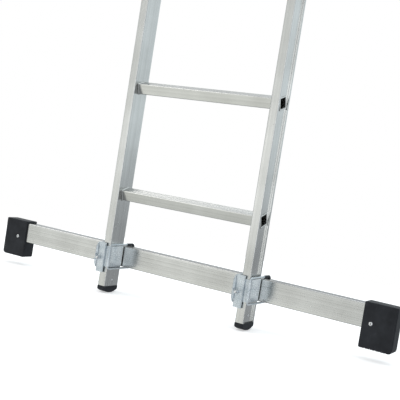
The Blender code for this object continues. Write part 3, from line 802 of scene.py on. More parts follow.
class PaintShop:
    """Keeps one material of each finish, and dresses pieces with them."""

    def __init__(self) -> None:
        """Starts with no material made."""
        self.made: dict[Finish, bpy.types.Material] = {}

    def dress(self, piece: Piece, finish: Finish, body: str, node: str) -> None:
        """Carries a piece into the shared frame, finishes it and puts it in a node's place.

        Args:
            piece: The finished mesh, in the ladder's axes.
            finish: Its finish.
            body: The moving body that carries it.
            node: The node that it stands for.
        """
        piece.name = piece.data.name = f"{node}_shape"
        carry(piece, Matrix.Translation(TO_SHARED_FRAME))
        modifier(piece, "WEIGHTED_NORMAL", keep_sharp=True, weight=50)
        if finish not in self.made:
            self.made[finish] = finish.material()
        piece.data.materials.clear()
        piece.data.materials.append(self.made[finish])
        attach(piece, body)
        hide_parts(node)
        LOG.info("%s: %d faces, on %s", piece.name, len(piece.data.polygons), body)

    def dress_pair(self, right: Piece, finish: Finish, body: str, stem: str, angle: float) -> None:
        """Mirrors a piece to the left, and dresses both.

        Args:
            right: The piece on the right.
            finish: Their finish.
            body: The body that carries them, with {} for the side.
            stem: Their nodes' name without the side.
            angle: Largest smooth angle, in degrees.
        """
        left = mirror_copy(right, angle)
        for piece, side in ((right, "right"), (left, "left")):
            self.dress(piece, finish, body.format(side), f"{stem}_{side}")


# ------------------------------------------------------------------ ladder sections


@dataclass
class StileProfile:
    """Box section of a stile, whose outer side is a recessed web between two bands."""

    width: float = 22.5 * MM
    depth: float = 57.5 * MM
    wall: float = 1.6 * MM
    recess: float = 4.5 * MM
    front_band: float = 6.0 * MM
    rear_band: float = 6.5 * MM

    def outer(self, inner_x: float, front_y: float) -> list[Point]:
        """Draws the outside.

        Args:
            inner_x: The x of the inner face.
            front_y: The y of the front face.

        Returns:
            The outline's points.
        """
        web, rear = self.width - self.recess, self.depth - self.rear_band
        corners = [
            (0.0, 0.0, 2.2 * MM),
            (0.0, self.depth, 1.6 * MM),
            (self.width, self.depth, 1.1 * MM),
            (self.width, rear, 0.6 * MM),
            (web, rear, 0.9 * MM),
            (web, self.front_band, 0.9 * MM),
            (self.width, self.front_band, 0.6 * MM),
            (self.width, 0.0, 2.0 * MM),
        ]
        return [(inner_x + u, front_y + v) for u, v in rounded(corners, 5)]

    def chamber(self, inner_x: float, front_y: float) -> list[Point]:
        """Draws the hollow inside.

        Args:
            inner_x: The x of the inner face.
            front_y: The y of the front face.

        Returns:
            The outline's points.
        """
        wall, web, rear = self.wall, self.width - self.recess, self.depth - self.rear_band
        corners = [
            (wall, wall, 0.5 * MM),
            (wall, self.depth - wall, 0.5 * MM),
            (self.width - wall, self.depth - wall, 0.3 * MM),
            (self.width - wall, rear + wall, 0.3 * MM),
            (web - wall, rear + wall, 0.3 * MM),
            (web - wall, self.front_band - wall, 0.3 * MM),
            (self.width - wall, self.front_band - wall, 0.3 * MM),
            (self.width - wall, wall, 0.3 * MM),
        ]
        return [(inner_x + u, front_y + v) for u, v in rounded(corners, 2)]


STILE = StileProfile()


@dataclass
class RungTube:
    """Rectangular rung tube, turned so that its ribbed tread is level when the ladder leans."""

    depth: float = 30.0 * MM
    height: float = 27.0 * MM
    wall: float = 1.5 * MM
    tilt: float = math.radians(18.9)
    ribs: int = 7

    def outline(self) -> list[Point]:
        """Draws the section with its tread ribs."""
        depth, height = self.depth / 2, self.height / 2
        points = rectangle((-depth, depth), (-height, height), 2.2 * MM)
        start, end = (depth - 3.2 * MM, height), (-depth + 3.2 * MM, height)
        return points[:15] + ribbed(start, end, self.ribs, 1.3 * MM, 0.25 * MM) + points[15:]

    def place(self, centre_y: float, z: float) -> Matrix:
        """Turns the tube to its tread angle and carries it to its height."""
        return Matrix.Translation((0.0, centre_y, z)) @ Matrix.Rotation(self.tilt, 4, "X")

    def build(self, half_width: float) -> Piece:
        """Makes the tube with its flared ends and its beads against the stiles.

        Args:
            half_width: Half of the section's width over the stiles.

        Returns:
            The tube about the x axis.
        """
        web, inner = half_width - STILE.recess, half_width - STILE.width
        flare = mm((1.7, 1.3), (1.6, 1.8), (1.3, 2.2), (0.85, 2.4), (0.4, 2), (0.3, 0.25), (-1, 0))
        bead = mm((0.5, 0), (-0.3, 0.25), (-0.32, 1.2), (-0.9, 1.6))
        bead += mm((-1.7, 1.5), (-2.4, 0.8), (-2.9, 0))
        grown = [(web + x, grow) for x, grow in flare] + [(inner + x, grow) for x, grow in bead]
        tube = loft(self.outline(), self.both_ends(grown), (self.depth / 2, self.height / 2))
        depth, height = self.depth / 2 - self.wall, self.height / 2 - self.wall
        mouth = [(web + x, grow) for x, grow in mm((2.2, 1.5), (1.4, 0.9), (0.7, 0.2), (-0.5, 0.0))]
        bore = rectangle((-depth, depth), (-height, height), 1.2 * MM, 3)
        combine(tube, "DIFFERENCE", loft(bore, self.both_ends(mouth), (depth, height)))
        return smooth(tube, SECTION_CREASE)

    @staticmethod
    def both_ends(stations: list[Point]) -> list[Point]:
        """Repeats the right end's stations in mirror image, from left to right."""
        return [(-x, grow) for x, grow in stations] + stations[::-1]


@dataclass
class EndCap:
    """Plastic cap on a stile's end, with a plug and a dished crown."""

    margin: float = 0.5 * MM
    thickness: float = 4.7 * MM
    plug: float = 32.0 * MM
    bevel: float = 0.8 * MM
    rim: float = 1.8 * MM
    dish: float = 0.5 * MM

    def build(self, x: Point, front_y: float, end_z: float, sign: float) -> Piece:
        """Makes one cap.

        Args:
            x: The stile's left and right faces.
            front_y: The stile's front face.
            end_z: The stile's end.
            sign: 1 for a cap on top, -1 for one below.

        Returns:
            The cap.
        """
        low, high = sorted((end_z + sign * GAP, end_z + sign * (GAP + self.thickness)))
        margin, rear_y = self.margin, front_y + STILE.depth
        outline = rectangle(
            (x[0] - margin, x[1] + margin), (front_y - margin, rear_y + margin), 2.2 * MM
        )
        cap = prism(outline, low, high, Plane.XY)
        ends = sorted((end_z - sign * self.plug, end_z + sign * 2.1 * MM))
        inset = (2.4 * MM, 7.0 * MM) if x[0] > 0 else (7.0 * MM, 2.4 * MM)
        fit = rectangle(
            (x[0] + inset[0], x[1] - inset[1]), (front_y + 2.4 * MM, rear_y - 2.4 * MM), 1.0 * MM
        )
        combine(cap, "UNION", prism(fit, *ends, Plane.XY))
        soften(cap, self.bevel)
        take(cap)
        crown = max(sign * face.center.z for face in cap.data.polygons)
        bpy.ops.object.mode_set(mode="EDIT")
        bpy.ops.mesh.select_mode(type="FACE")
        bpy.ops.mesh.select_all(action="DESELECT")
        bpy.ops.object.mode_set(mode="OBJECT")
        for face in cap.data.polygons:
            face.select = face.normal.z * sign > 0.99 and sign * face.center.z > crown - 0.05 * MM
        bpy.ops.object.mode_set(mode="EDIT")
        bpy.ops.mesh.inset(thickness=self.rim, depth=0.0)
        bpy.ops.mesh.inset(thickness=self.dish, depth=-self.dish)
        bpy.ops.mesh.select_mode(type="VERT")
        bpy.ops.object.mode_set(mode="OBJECT")
        return smooth(cap, MOULDED_CREASE)


@dataclass
class LadderSection:
    """Two stiles and six rungs with their end caps."""

    name: str
    half_width: float
    front_y: float
    bottom_z: float
    top_z: float
    first_rung_z: float
    capped_bottom: bool
    rung: RungTube = field(default_factory=RungTube)
    cap: EndCap = field(default_factory=EndCap)
    rungs: int = 6
    pitch: float = 280.0 * MM

    @property
    def places(self) -> list[Matrix]:
        """The places of the rungs, from the lowest up."""
        centre_y = self.front_y + STILE.depth / 2
        heights = [self.first_rung_z + index * self.pitch for index in range(self.rungs)]
        return [self.rung.place(centre_y, z) for z in heights]

    def build_stile(self, holes: Sequence[tuple[Axis, Vector, float]]) -> Piece:
        """Makes the right stile with its chamber, rung holes and rivet holes.

        Args:
            holes: Axis, centre and radius of each round hole.

        Returns:
            The right stile.
        """
        inner_x = self.half_width - STILE.width
        stile = prism(STILE.outer(inner_x, self.front_y), self.bottom_z, self.top_z, Plane.XY)
        chamber = STILE.chamber(inner_x, self.front_y)
        hollow = prism(chamber, self.bottom_z - PAST, self.top_z + PAST, Plane.XY)
        combine(stile, "DIFFERENCE", hollow)
        depth, height = self.rung.depth / 2 + GAP, self.rung.height / 2 + GAP
        opening = rectangle((-depth, depth), (-height, height), 2.2 * MM)
        for place in self.places:
            cutter = prism(opening, inner_x - PAST, self.half_width + PAST, Plane.YZ)
            combine(stile, "DIFFERENCE", carry(cutter, place))
        for axis, centre, radius in holes:
            drill(stile, centre, radius, axis, 12 * MM)
        return smooth(stile, SECTION_CREASE)

    def build(self, shop: PaintShop, holes: Sequence[tuple[Axis, Vector, float]]) -> None:
        """Builds and dresses the whole section.

        Args:
            shop: Where pieces are dressed.
            holes: Round holes in the right stile; the left one mirrors them.
        """
        stile, finish = self.build_stile(holes), ExtrudedAluminium(Grain.ALONG_Z)
        shop.dress_pair(stile, finish, self.name, f"{self.name}_stile", SECTION_CREASE)
        pattern = self.rung.build(self.half_width)
        finish = ExtrudedAluminium(Grain.ALONG_X)
        for number, place in enumerate(self.places, 1):
            shop.dress(copy(pattern, place), finish, self.name, f"{self.name}_rung_{number}")
        bpy.data.objects.remove(pattern)
        ends = [("top", self.top_z, 1.0)]
        if self.capped_bottom:
            ends.append(("bottom", self.bottom_z, -1.0))
        for side in Side:
            inner_x = self.half_width - STILE.width
            faces = sorted((side.sign * inner_x, side.sign * (inner_x + STILE.width)))
            for end, end_z, sign in ends:
                cap = self.cap.build(faces, self.front_y, end_z, sign)
                shop.dress(cap, BlackPlastic(), self.name, f"{self.name}_{end}_cap_{side.value}")


@dataclass
class Foot:
    """Curved plastic foot under a base stile, and the rivet that holds it."""

    margin: float = 0.5 * MM
    top_z: float = 17.7 * MM
    sagitta: float = 8.5 * MM
    plug_z: float = 58.0 * MM
    rivet_z: float = 34.0 * MM

    def build(self, shop: PaintShop) -> None:
        """Builds and dresses both feet.

        Args:
            shop: Where pieces are dressed.
        """
        half, centre_y = STILE.depth / 2 + self.margin, STILE.depth / 2
        radius = (half**2 + self.sagitta**2) / (2 * self.sagitta)
        spread = math.asin(half / radius)
        turns = [-spread + 2 * spread * step / 36 for step in range(37)]
        sole = [
            (centre_y + radius * math.sin(turn), radius - radius * math.cos(turn)) for turn in turns
        ]
        outline = sole + [(centre_y + half, self.top_z), (centre_y - half, self.top_z)]
        low_x = BASE_HALF_WIDTH - STILE.width - self.margin
        high_x = BASE_HALF_WIDTH + self.margin
        foot = prism(outline, low_x, high_x, Plane.YZ)
        soften(foot, 1.9 * MM, 4, 40.0)
        for offset in (-15.0, -9.0, -3.0, 3.0, 9.0, 15.0):
            y = centre_y + offset * MM
            top = 1.1 * MM + (offset * MM) ** 2 / (2 * radius)
            low = (low_x + 3 * MM, y - 0.9 * MM, -PAST)
            combine(foot, "DIFFERENCE", block(low, (high_x - 3 * MM, y + 0.9 * MM, top)))
        plug = rectangle(
            (low_x + 2.4 * MM, high_x - 7.0 * MM), (2.2 * MM, STILE.depth - 2.2 * MM), 1.0 * MM
        )
        combine(foot, "UNION", prism(plug, self.top_z - 1.0 * MM, self.plug_z, Plane.XY))
        centre = (high_x - STILE.width / 2, centre_y, self.rivet_z)
        drill(foot, centre, RIVET_HOLE, Axis.X, 30 * MM)
        smooth(foot, MOULDED_CREASE)
        shop.dress_pair(foot, BlackPlastic(), "base", "base_foot", MOULDED_CREASE)
        head = (BASE_HALF_WIDTH - STILE.recess + GAP, centre_y, self.rivet_z)
        profile = set_rivet(STILE.width - STILE.recess + 2 * GAP, 3.4 * MM)
        rivet = smooth(turned(profile, head, Axis.X), TURNED_CREASE)
        shop.dress_pair(rivet, RivetSteel(), "base", "foot_rivet", TURNED_CREASE)


# ------------------------------------------------------------------ crossbar


@dataclass
class Crossbar:
    """Hollow beam with fine lengthwise grooves, its two end shoes and their blind rivets."""

    front_y: float = 58.5 * MM
    rear_y: float = 90.5 * MM
    low_z: float = 69.3 * MM
    high_z: float = 124.3 * MM
    wall: float = 2.0 * MM
    shoe_left: Point = (-617.0 * MM, -537.5 * MM)
    shoe_right: Point = (480.0 * MM, 558.0 * MM)
    shoe_y: Point = (54.0 * MM, 95.0 * MM)
    shoe_z: Point = (25.0 * MM, 130.0 * MM)
    end_wall: float = 5.0 * MM
    rivet_z: float = 82.0 * MM
    rivet_insets: Point = (30.0 * MM, 21.0 * MM)
    bolt_holes: Point = (-221.0 * MM, 191.5 * MM)
    bolt_z: float = 90.5 * MM

    def shoe_x(self, side: Side) -> Point:
        """The left and right face of one shoe."""
        return self.shoe_left if side is Side.LEFT else self.shoe_right

    def build_beam(self) -> Piece:
        """Makes the beam."""
        wall, front, rear = self.wall, self.front_y, self.rear_y
        points = rectangle((front, rear), (self.low_z, self.high_z), 2.2 * MM)
        low, high = self.low_z + 4.5 * MM, self.high_z - 4.5 * MM
        rear_grooves = ribbed((rear, low), (rear, high), 9, 0.9 * MM, 0.35 * MM)
        front_grooves = ribbed((front, high), (front, low), 9, 0.9 * MM, 0.35 * MM)
        outline = points[:10] + rear_grooves + points[10:] + front_grooves
        left = self.shoe_left[0] + self.end_wall + GAP
        right = self.shoe_right[1] - self.end_wall - GAP
        beam = prism(outline, left, right, Plane.YZ)
        height = (self.low_z + wall, self.high_z - wall)
        chamber = rectangle((front + wall, rear - wall), height, 1.0 * MM, 3)
        combine(beam, "DIFFERENCE", prism(chamber, left - PAST, right + PAST, Plane.YZ))
        for x in self.bolt_holes:
            drill(beam, (x, (front + rear) / 2, self.bolt_z), BOLT_HOLE, Axis.Y, 30 * MM)
        return smooth(beam, SECTION_CREASE)

    def build_shoe(self, side: Side) -> Piece:
        """Makes one end shoe.

        Args:
            side: Which end.

        Returns:
            The shoe.
        """
        low_x, high_x = self.shoe_x(side)
        outer, inner, overrun = 9.0 * MM, 4.0 * MM, 5 * MM
        radii = (outer, inner) if side is Side.LEFT else (inner, outer)
        corners = [
            (low_x, self.shoe_z[0], radii[0]),
            (high_x, self.shoe_z[0], radii[1]),
            (high_x, self.shoe_z[1], 3.0 * MM),
            (low_x, self.shoe_z[1], 3.0 * MM),
        ]
        shoe = prism(rounded(corners, 6), *self.shoe_y, Plane.XZ)
        soften(shoe, 3.2 * MM, 4)
        ends = (low_x + self.end_wall, high_x + overrun)
        if side is Side.RIGHT:
            ends = (low_x - overrun, high_x - self.end_wall)
        socket = rectangle(
            (self.front_y - GAP, self.rear_y + GAP), (self.low_z - GAP, self.high_z + GAP), 2.2 * MM
        )
        combine(shoe, "DIFFERENCE", prism(socket, *ends, Plane.YZ))
        for index in range(5):
            x = low_x + 14 * MM + index * 12 * MM
            low = (x, self.shoe_y[0] - overrun, 0.0)
            high = (x + 2.5 * MM, self.shoe_y[1] + overrun, self.shoe_z[0] + 1.5 * MM)
            combine(shoe, "DIFFERENCE", block(low, high))
        return smooth(shoe, MOULDED_CREASE)

    def build_rivet(self, side: Side) -> Piece:
        """Makes the blind rivet in front of one shoe, with its hollow centre.

        Args:
            side: Which end.

        Returns:
            The rivet.
        """
        head, rise, pit = 4.6 * MM, 1.5 * MM, 1.4 * MM
        low_x, high_x = self.shoe_x(side)
        x = high_x - self.rivet_insets[0] if side is Side.LEFT else low_x + self.rivet_insets[1]
        grip = self.front_y + self.wall - self.shoe_y[0] + 2 * GAP
        profile = [
            (0.0, -2.0 * MM),
            (pit, -2.0 * MM),
            (pit, rise - 0.25 * MM),
            (pit + 0.3 * MM, rise),
            (head * 0.5, rise),
            (head * 0.72, rise * 0.85),
            (head * 0.9, rise * 0.5),
            (head, 0.12 * MM),
            (head - 0.1 * MM, 0.0),
            (2.2 * MM, 0.0),
            (2.2 * MM, -grip),
            (head * 0.7, -grip - 0.6 * MM),
            (head * 0.7, -grip - 3.0 * MM),
            (0.0, -grip - 4.0 * MM),
        ]
        rivet = turned(profile, (x, self.shoe_y[0] - GAP, self.rivet_z), Axis.Y, flip=True)
        return smooth(rivet, TURNED_CREASE)

    def build(self, shop: PaintShop) -> None:
        """Builds and dresses the whole crossbar.

        Args:
            shop: Where pieces are dressed.
        """
        shop.dress(self.build_beam(), ExtrudedAluminium(Grain.ALONG_X), "base", "crossbar_beam")
        for side in Side:
            shop.dress(self.build_shoe(side), BlackPlastic(), "base", f"crossbar_shoe_{side.value}")
            shop.dress(self.build_rivet(side), RivetSteel(), "base", f"crossbar_rivet_{side.value}")


# ------------------------------------------------------------------ clamps


@dataclass
class Clamp:
    """Saddle, pressure plate, two wire links with sleeves, bolt and wing nut on one stile."""

    side: Side
    stile_x: float
    nut_turn: float
    wire: float = 2.5 * MM
    wire_bore: float = 2.8 * MM
    sleeve: float = 3.25 * MM
    sheet: float = 2.5 * MM
    link_places: Point = (-12.9 * MM, 27.0 * MM)
    link_front_y: float = -6.0 * MM
    link_rear_y: float = 97.2 * MM
    link_z: Point = (65.3 * MM, 128.3 * MM)
    link_corner: float = 7.0 * MM
    centre_z: float = 96.8 * MM
    barrel_half_height: float = 24.2 * MM
    plate_barrel: float = 4.2 * MM
    saddle_barrel: float = 5.0 * MM
    saddle_half_height: float = 27.2 * MM
    plate_z: Point = (53.5 * MM, 131.5 * MM)
    plate_span: Point = (-9.9 * MM, 12.5 * MM)
    bolt_offset: float = -3.5 * MM
    bolt_z: float = 90.5 * MM
    bar_rear_y: float = 90.5 * MM
    ear_spread: float = 48.0

    @property
    def plate_front_y(self) -> float:
        """The y of the pressure plate's front face."""
        return -2 * GAP - 2 * self.sheet

    def start_ring(self, radius: float, x: float, y: float) -> Piece:
        """Starts a wire or a sleeve as a ring on the link's upper run, in edit mode.

        Args:
            radius: Radius of the ring.
            x: The x of the link's plane.
            y: Where the ring stands.

        Returns:
            The new piece.
        """
        clear()
        stance = {"location": (x, y, self.link_z[1]), "rotation": (math.pi / 2, 0.0, 0.0)}
        bpy.ops.mesh.primitive_circle_add(vertices=20, radius=radius, **stance)
        return edit_new()

    def build_link(self, x: float) -> Piece:
        """Bends one closed wire link round the crossbar.

        Args:
            x: The x of the link's plane.

        Returns:
            The link.
        """
        corner, (low_z, high_z) = self.link_corner, self.link_z
        front, rear = self.link_front_y, self.link_rear_y
        link = self.start_ring(self.wire, x, front + corner)
        runs = [
            ((0.0, rear - front - 2 * corner, 0.0), (x, rear - corner, high_z - corner)),
            ((0.0, 0.0, low_z - high_z + 2 * corner), (x, rear - corner, low_z + corner)),
            ((0.0, front - rear + 2 * corner, 0.0), (x, front + corner, low_z + corner)),
            ((0.0, 0.0, high_z - low_z - 2 * corner), (x, front + corner, high_z - corner)),
        ]
        for run, centre in runs:
            pull(run)
            bend(centre)
        finish_mesh()
        return smooth(link, WIRE_CREASE)

    def build_sleeve(self, x: float) -> Piece:
        """Makes the black sleeve over a link's upper rear bend.

        Args:
            x: The x of the link's plane.

        Returns:
            The sleeve, open at both ends.
        """
        length, high_z, corner = 30.0 * MM, self.link_z[1], self.link_corner
        sleeve = self.start_ring(self.sleeve, x, self.link_rear_y - length)
        pull((0.0, length - corner, 0.0))
        bend((x, self.link_rear_y - corner, high_z - corner))
        pull((0.0, 0.0, corner - 20.0 * MM))
        finish_mesh()
        modifier(sleeve, "SOLIDIFY", thickness=self.sleeve - self.wire_bore, offset=1.0)
        return smooth(sleeve, WIRE_CREASE)

    def add_barrel(self, sheet: Piece, x: float, radius: float) -> None:
        """Rolls a sheet's edge round the front leg of a link.

        Args:
            sheet: The sheet.
            x: The x of the link.
            radius: Outer radius of the roll.
        """
        low, high = self.centre_z - self.barrel_half_height, self.centre_z + self.barrel_half_height
        combine(sheet, "UNION", prism(circle(x, self.link_front_y, radius), low, high, Plane.XY))
        bore = circle(x, self.link_front_y, self.wire_bore)
        combine(sheet, "DIFFERENCE", prism(bore, low - 9 * MM, high + 9 * MM, Plane.XY))

    def build_saddle(self) -> Piece:
        """Makes the bent sheet on the stile's front and right faces."""
        right, sheet = self.stile_x + STILE.width + GAP, self.sheet
        corners = [
            (self.stile_x + 1 * MM, -GAP, 0.4 * MM),
            (self.stile_x + 1 * MM, -GAP - sheet, 0.4 * MM),
            (right + sheet, -GAP - sheet, 1.0 * MM),
            (right + sheet, 55 * MM, 0.9 * MM),
            (right, 55 * MM, 0.9 * MM),
            (right, -GAP, 0.5 * MM),
        ]
        low, high = self.centre_z - self.saddle_half_height, self.centre_z + self.saddle_half_height
        saddle = prism(rounded(corners), low, high, Plane.XY)
        self.add_barrel(saddle, self.stile_x + self.link_places[1], self.saddle_barrel)
        return soften(saddle, 0.35 * MM, 2)

    def build_plate(self) -> Piece:
        """Makes the tall pressure plate with its folded right edge."""
        rear, front = -2 * GAP - self.sheet, self.plate_front_y
        left, right = (self.stile_x + place for place in self.plate_span)
        corners = [
            (left, rear, 0.6 * MM),
            (left, front, 0.6 * MM),
            (right - 2 * MM, front, 1.2 * MM),
            (right - 2 * MM, front - 2.5 * MM, 0.9 * MM),
            (right, front - 2.5 * MM, 0.9 * MM),
            (right, rear, 1.0 * MM),
        ]
        plate = prism(rounded(corners), *self.plate_z, Plane.XY)
        self.add_barrel(plate, self.stile_x + self.link_places[0], self.plate_barrel)
        centre = (self.stile_x + self.bolt_offset, front, self.bolt_z)
        drill(plate, centre, BOLT_HOLE, Axis.Y, 20 * MM)
        return soften(plate, 0.35 * MM, 2)

    def build_bolt(self) -> Piece:
        """Makes the hex bolt with a chamfered head and a rolled thread at its tip."""
        x, head_y = self.stile_x + self.bolt_offset, self.bar_rear_y + GAP
        tip_y, thread_y = self.plate_front_y - 13 * MM, self.plate_front_y + 6 * MM
        root, crest = 2.6 * MM, 3.0 * MM
        shank = [(0.0, head_y + 0.5 * MM), (crest, head_y + 0.5 * MM), (crest, thread_y)]
        for turn in range(18):
            y = thread_y - turn * MM
            shank += [(root, y - 0.5 * MM), (crest, y - 0.95 * MM)]
        shank += [(2.3 * MM, tip_y), (0.0, tip_y)]
        bolt = turned(shank, (x, 0.0, self.bolt_z), Axis.Y, sides=28)
        head = prism(circle(x, self.bolt_z, 5.75 * MM, 6), head_y, head_y + 4 * MM, Plane.XZ)
        combine(bolt, "UNION", soften(head, 0.5 * MM, 2, 40.0))
        return smooth(bolt, MOULDED_CREASE)

    def build_wing_nut(self) -> Piece:
        """Makes the nut with its two ears, about the origin, and turns it into place."""
        hub = mm((0, 9.5), (3.9, 9.5), (4.2, 9.1), (4.5, 5.0), (4.8, 0.6), (4.6, 0), (0, 0))
        ear_front = mm((2.5, -5, 0), (6, -5.4, 1), (11, -8, 2))
        ear_rear = mm((12.5, -12.5, 2), (8.5, -13.5, 1.6), (2.5, -8.5, 0))
        nut = turned(hub, (0, 0, 0), Axis.Y, flip=True)
        for lean in (-1, 1):
            ear = prism(rounded(ear_front + ear_rear, 5), -1.2 * MM, 1.2 * MM, Plane.XY)
            soften(ear, 0.7 * MM)
            turn = math.radians(-90 + lean * self.ear_spread)
            combine(nut, "UNION", carry(ear, Matrix.Rotation(turn, 4, "Y")))
        drill(nut, (0, 0, 0), BOLT_HOLE, Axis.Y, 20 * MM, 28)
        smooth(nut, MOULDED_CREASE)
        spot = (self.stile_x + self.bolt_offset, self.plate_front_y - GAP, self.bolt_z)
        return carry(nut, Matrix.Translation(spot) @ Matrix.Rotation(self.nut_turn, 4, "Y"))

    def build(self, shop: PaintShop) -> None:
        """Builds and dresses the whole clamp.

        Args:
            shop: Where pieces are dressed.
        """
        zinc, name = ZincPlate(), f"clamp_{self.side.value}_"
        shop.dress(self.build_saddle(), zinc, "base", name + "saddle")
        shop.dress(self.build_plate(), zinc, "base", name + "plate")
        for place, offset in zip(("outer", "inner"), self.link_places):
            x = self.stile_x + offset
            shop.dress(self.build_link(x), zinc, "base", f"{name}link_{place}")
            shop.dress(self.build_sleeve(x), BlackPlastic(), "base", f"{name}sleeve_{place}")
        shop.dress(self.build_bolt(), RivetSteel(), "base", name + "bolt")
        shop.dress(self.build_wing_nut(), zinc, f"wing_nut_{self.side.value}", name + "wing_nut")


# ------------------------------------------------------------------ guides and hooks


@dataclass
class Guides:
    """Brackets that keep the two sections together, with their rivets."""

    height: float = 50.0 * MM
    base_z: float = 1705.0 * MM
    fly_z: float = 956.5 * MM
    plate: float = 3.0 * MM
    strap: float = 2.5 * MM

    def base_rivet_place(self) -> Vector:
        """Where the right base guide's rivet head sits."""
        x = BASE_HALF_WIDTH - STILE.width - GAP - self.plate - GAP
        return Vector((x, 30.0 * MM, self.base_z + self.height / 2))

    def fly_rivet_place(self) -> Vector:
        """Where the right fly guide's rivet head sits."""
        x = FLY_HALF_WIDTH - STILE.width + 9.0 * MM
        y = FLY_FRONT_Y + STILE.depth + 2 * GAP + self.strap
        return Vector((x, y, self.fly_z + self.height / 2))

    def base_corners(self) -> list[Corner]:
        """Draws the base guide from above."""
        outer_x = BASE_HALF_WIDTH - STILE.width - GAP
        inner_x = outer_x - self.plate
        front = FLY_FRONT_Y - 1.0 * MM - self.plate
        hook_x = FLY_HALF_WIDTH - 18.0 * MM
        return [
            (outer_x, 50 * MM, 1 * MM),
            (inner_x, 50 * MM, 1 * MM),
            (inner_x, front + self.plate, 1 * MM),
            (hook_x, front + self.plate, 1 * MM),
            (hook_x, front, 1 * MM),
            (outer_x, front, 3 * MM),
        ]

    def fly_corners(self) -> list[Corner]:
        """Draws the fly guide from above."""
        strap, start_y = self.strap, FLY_FRONT_Y + STILE.depth + GAP
        far_x = BASE_HALF_WIDTH + 1.5 * MM + strap
        rear = STILE.depth + 1.5 * MM + strap
        start_x = FLY_HALF_WIDTH - STILE.width + 2.0 * MM
        turn_x = BASE_HALF_WIDTH - 12.0 * MM
        return [
            (start_x, start_y, 0.8 * MM),
            (far_x, start_y, 3 * MM),
            (far_x, rear, 3 * MM),
            (turn_x, rear, 0.8 * MM),
            (turn_x, rear - strap, 0.8 * MM),
            (far_x - strap, rear - strap, 1 * MM),
            (far_x - strap, start_y + strap, 1 * MM),
            (start_x, start_y + strap, 0.8 * MM),
        ]

    def build(self, shop: PaintShop) -> None:
        """Builds and dresses all four guides and their rivets.

        Args:
            shop: Where pieces are dressed.
        """
        base_spot, fly_spot = self.base_rivet_place(), self.fly_rivet_place()
        jobs = [
            ("base", self.base_corners(), self.base_z, base_spot, Axis.X, self.plate, True),
            ("fly", self.fly_corners(), self.fly_z, fly_spot, Axis.Y, self.strap, False),
        ]
        for body, corners, low_z, place, axis, thickness, flip in jobs:
            guide = prism(rounded(corners), low_z, low_z + self.height, Plane.XY)
            drill(guide, place, RIVET_HOLE, axis, 10 * MM)
            soften(guide, 0.5 * MM, 2)
            profile = set_rivet(thickness + 3 * GAP + 1.6 * MM, 4.0 * MM)
            rivet = smooth(turned(profile, place, axis, flip=flip), TURNED_CREASE)
            finish, stem = ExtrudedAluminium(Grain.ALONG_Z), f"{body}_guide"
            shop.dress_pair(guide, finish, body, stem, MOULDED_CREASE)
            shop.dress_pair(rivet, RivetSteel(), body, f"{stem}_rivet", TURNED_CREASE)


@dataclass
class RungHooks:
    """Locking hooks on the fly stiles, swung clear of the base rungs, and their pins."""

    inner_x: float = 167.5 * MM
    clearance: float = 0.8 * MM
    thickness: float = 6.0 * MM
    pivot_y: float = -20.0 * MM
    pivot_z: float = 1147.5 * MM
    release: float = math.radians(115.0)
    hole: float = 4.3 * MM
    pin: float = 4.0 * MM

    def build_hook(self) -> Piece:
        """Makes the right hook, swung clear."""
        corners = mm(
            (-11, 11, 9),
            (8, 11, 4),
            (79.5, -8, 8),
            (79.5, -44, 2),
            (70.4, -46, 2),
            (70.4, -24.5, 1.5),
            (18, -24.5, 6),
            (8, -11, 4),
            (-11, -11, 9),
        )
        near = self.inner_x - self.clearance
        hook = prism(rounded(corners, 6), near - self.thickness, near, Plane.YZ)
        drill(hook, (near, 0.0, 0.0), self.hole, Axis.X, 30 * MM, 32)
        soften(hook, 0.7 * MM)
        place = Matrix.Translation((0.0, self.pivot_y, self.pivot_z))
        return carry(hook, place @ Matrix.Rotation(self.release, 4, "X"))

    def build_pin(self) -> Piece:
        """Makes the right pin, with its head over the hook."""
        head, face = 7.0 * MM, self.clearance + self.thickness + GAP
        profile = [
            (0.0, face + 2.4 * MM),
            (head - 2.2 * MM, face + 3.0 * MM),
            (head - 0.8 * MM, face + 2.9 * MM),
            (head, face + 2.1 * MM),
            (head, face + 0.3 * MM),
            (head - 0.3 * MM, face),
            (self.pin, face),
            (self.pin, -5.6 * MM),
            (0.0, -5.6 * MM),
        ]
        pin = turned(profile, (self.inner_x, self.pivot_y, self.pivot_z), Axis.X, flip=True)
        return smooth(pin, TURNED_CREASE)

    def build(self, shop: PaintShop) -> None:
        """Builds and dresses both hooks and their pins.

        Args:
            shop: Where pieces are dressed.
        """
        hook, pin = self.build_hook(), self.build_pin()
        shop.dress_pair(hook, ZincPlate(), "hook_{}", "fly_hook", MOULDED_CREASE)
        shop.dress_pair(pin, RivetSteel(), "fly", "fly_hook_pin", TURNED_CREASE)


# ------------------------------------------------------------------ studio


@dataclass(frozen=True)
class Glow:
    """A soft patch of light around the stage, or a dark flag where its colour is negative.

    It is full up to the inner angle from its direction, and fades out at the outer one.
    """

    towards: tuple[float, float, float]
    inner: float
    outer: float
    colour: Colour


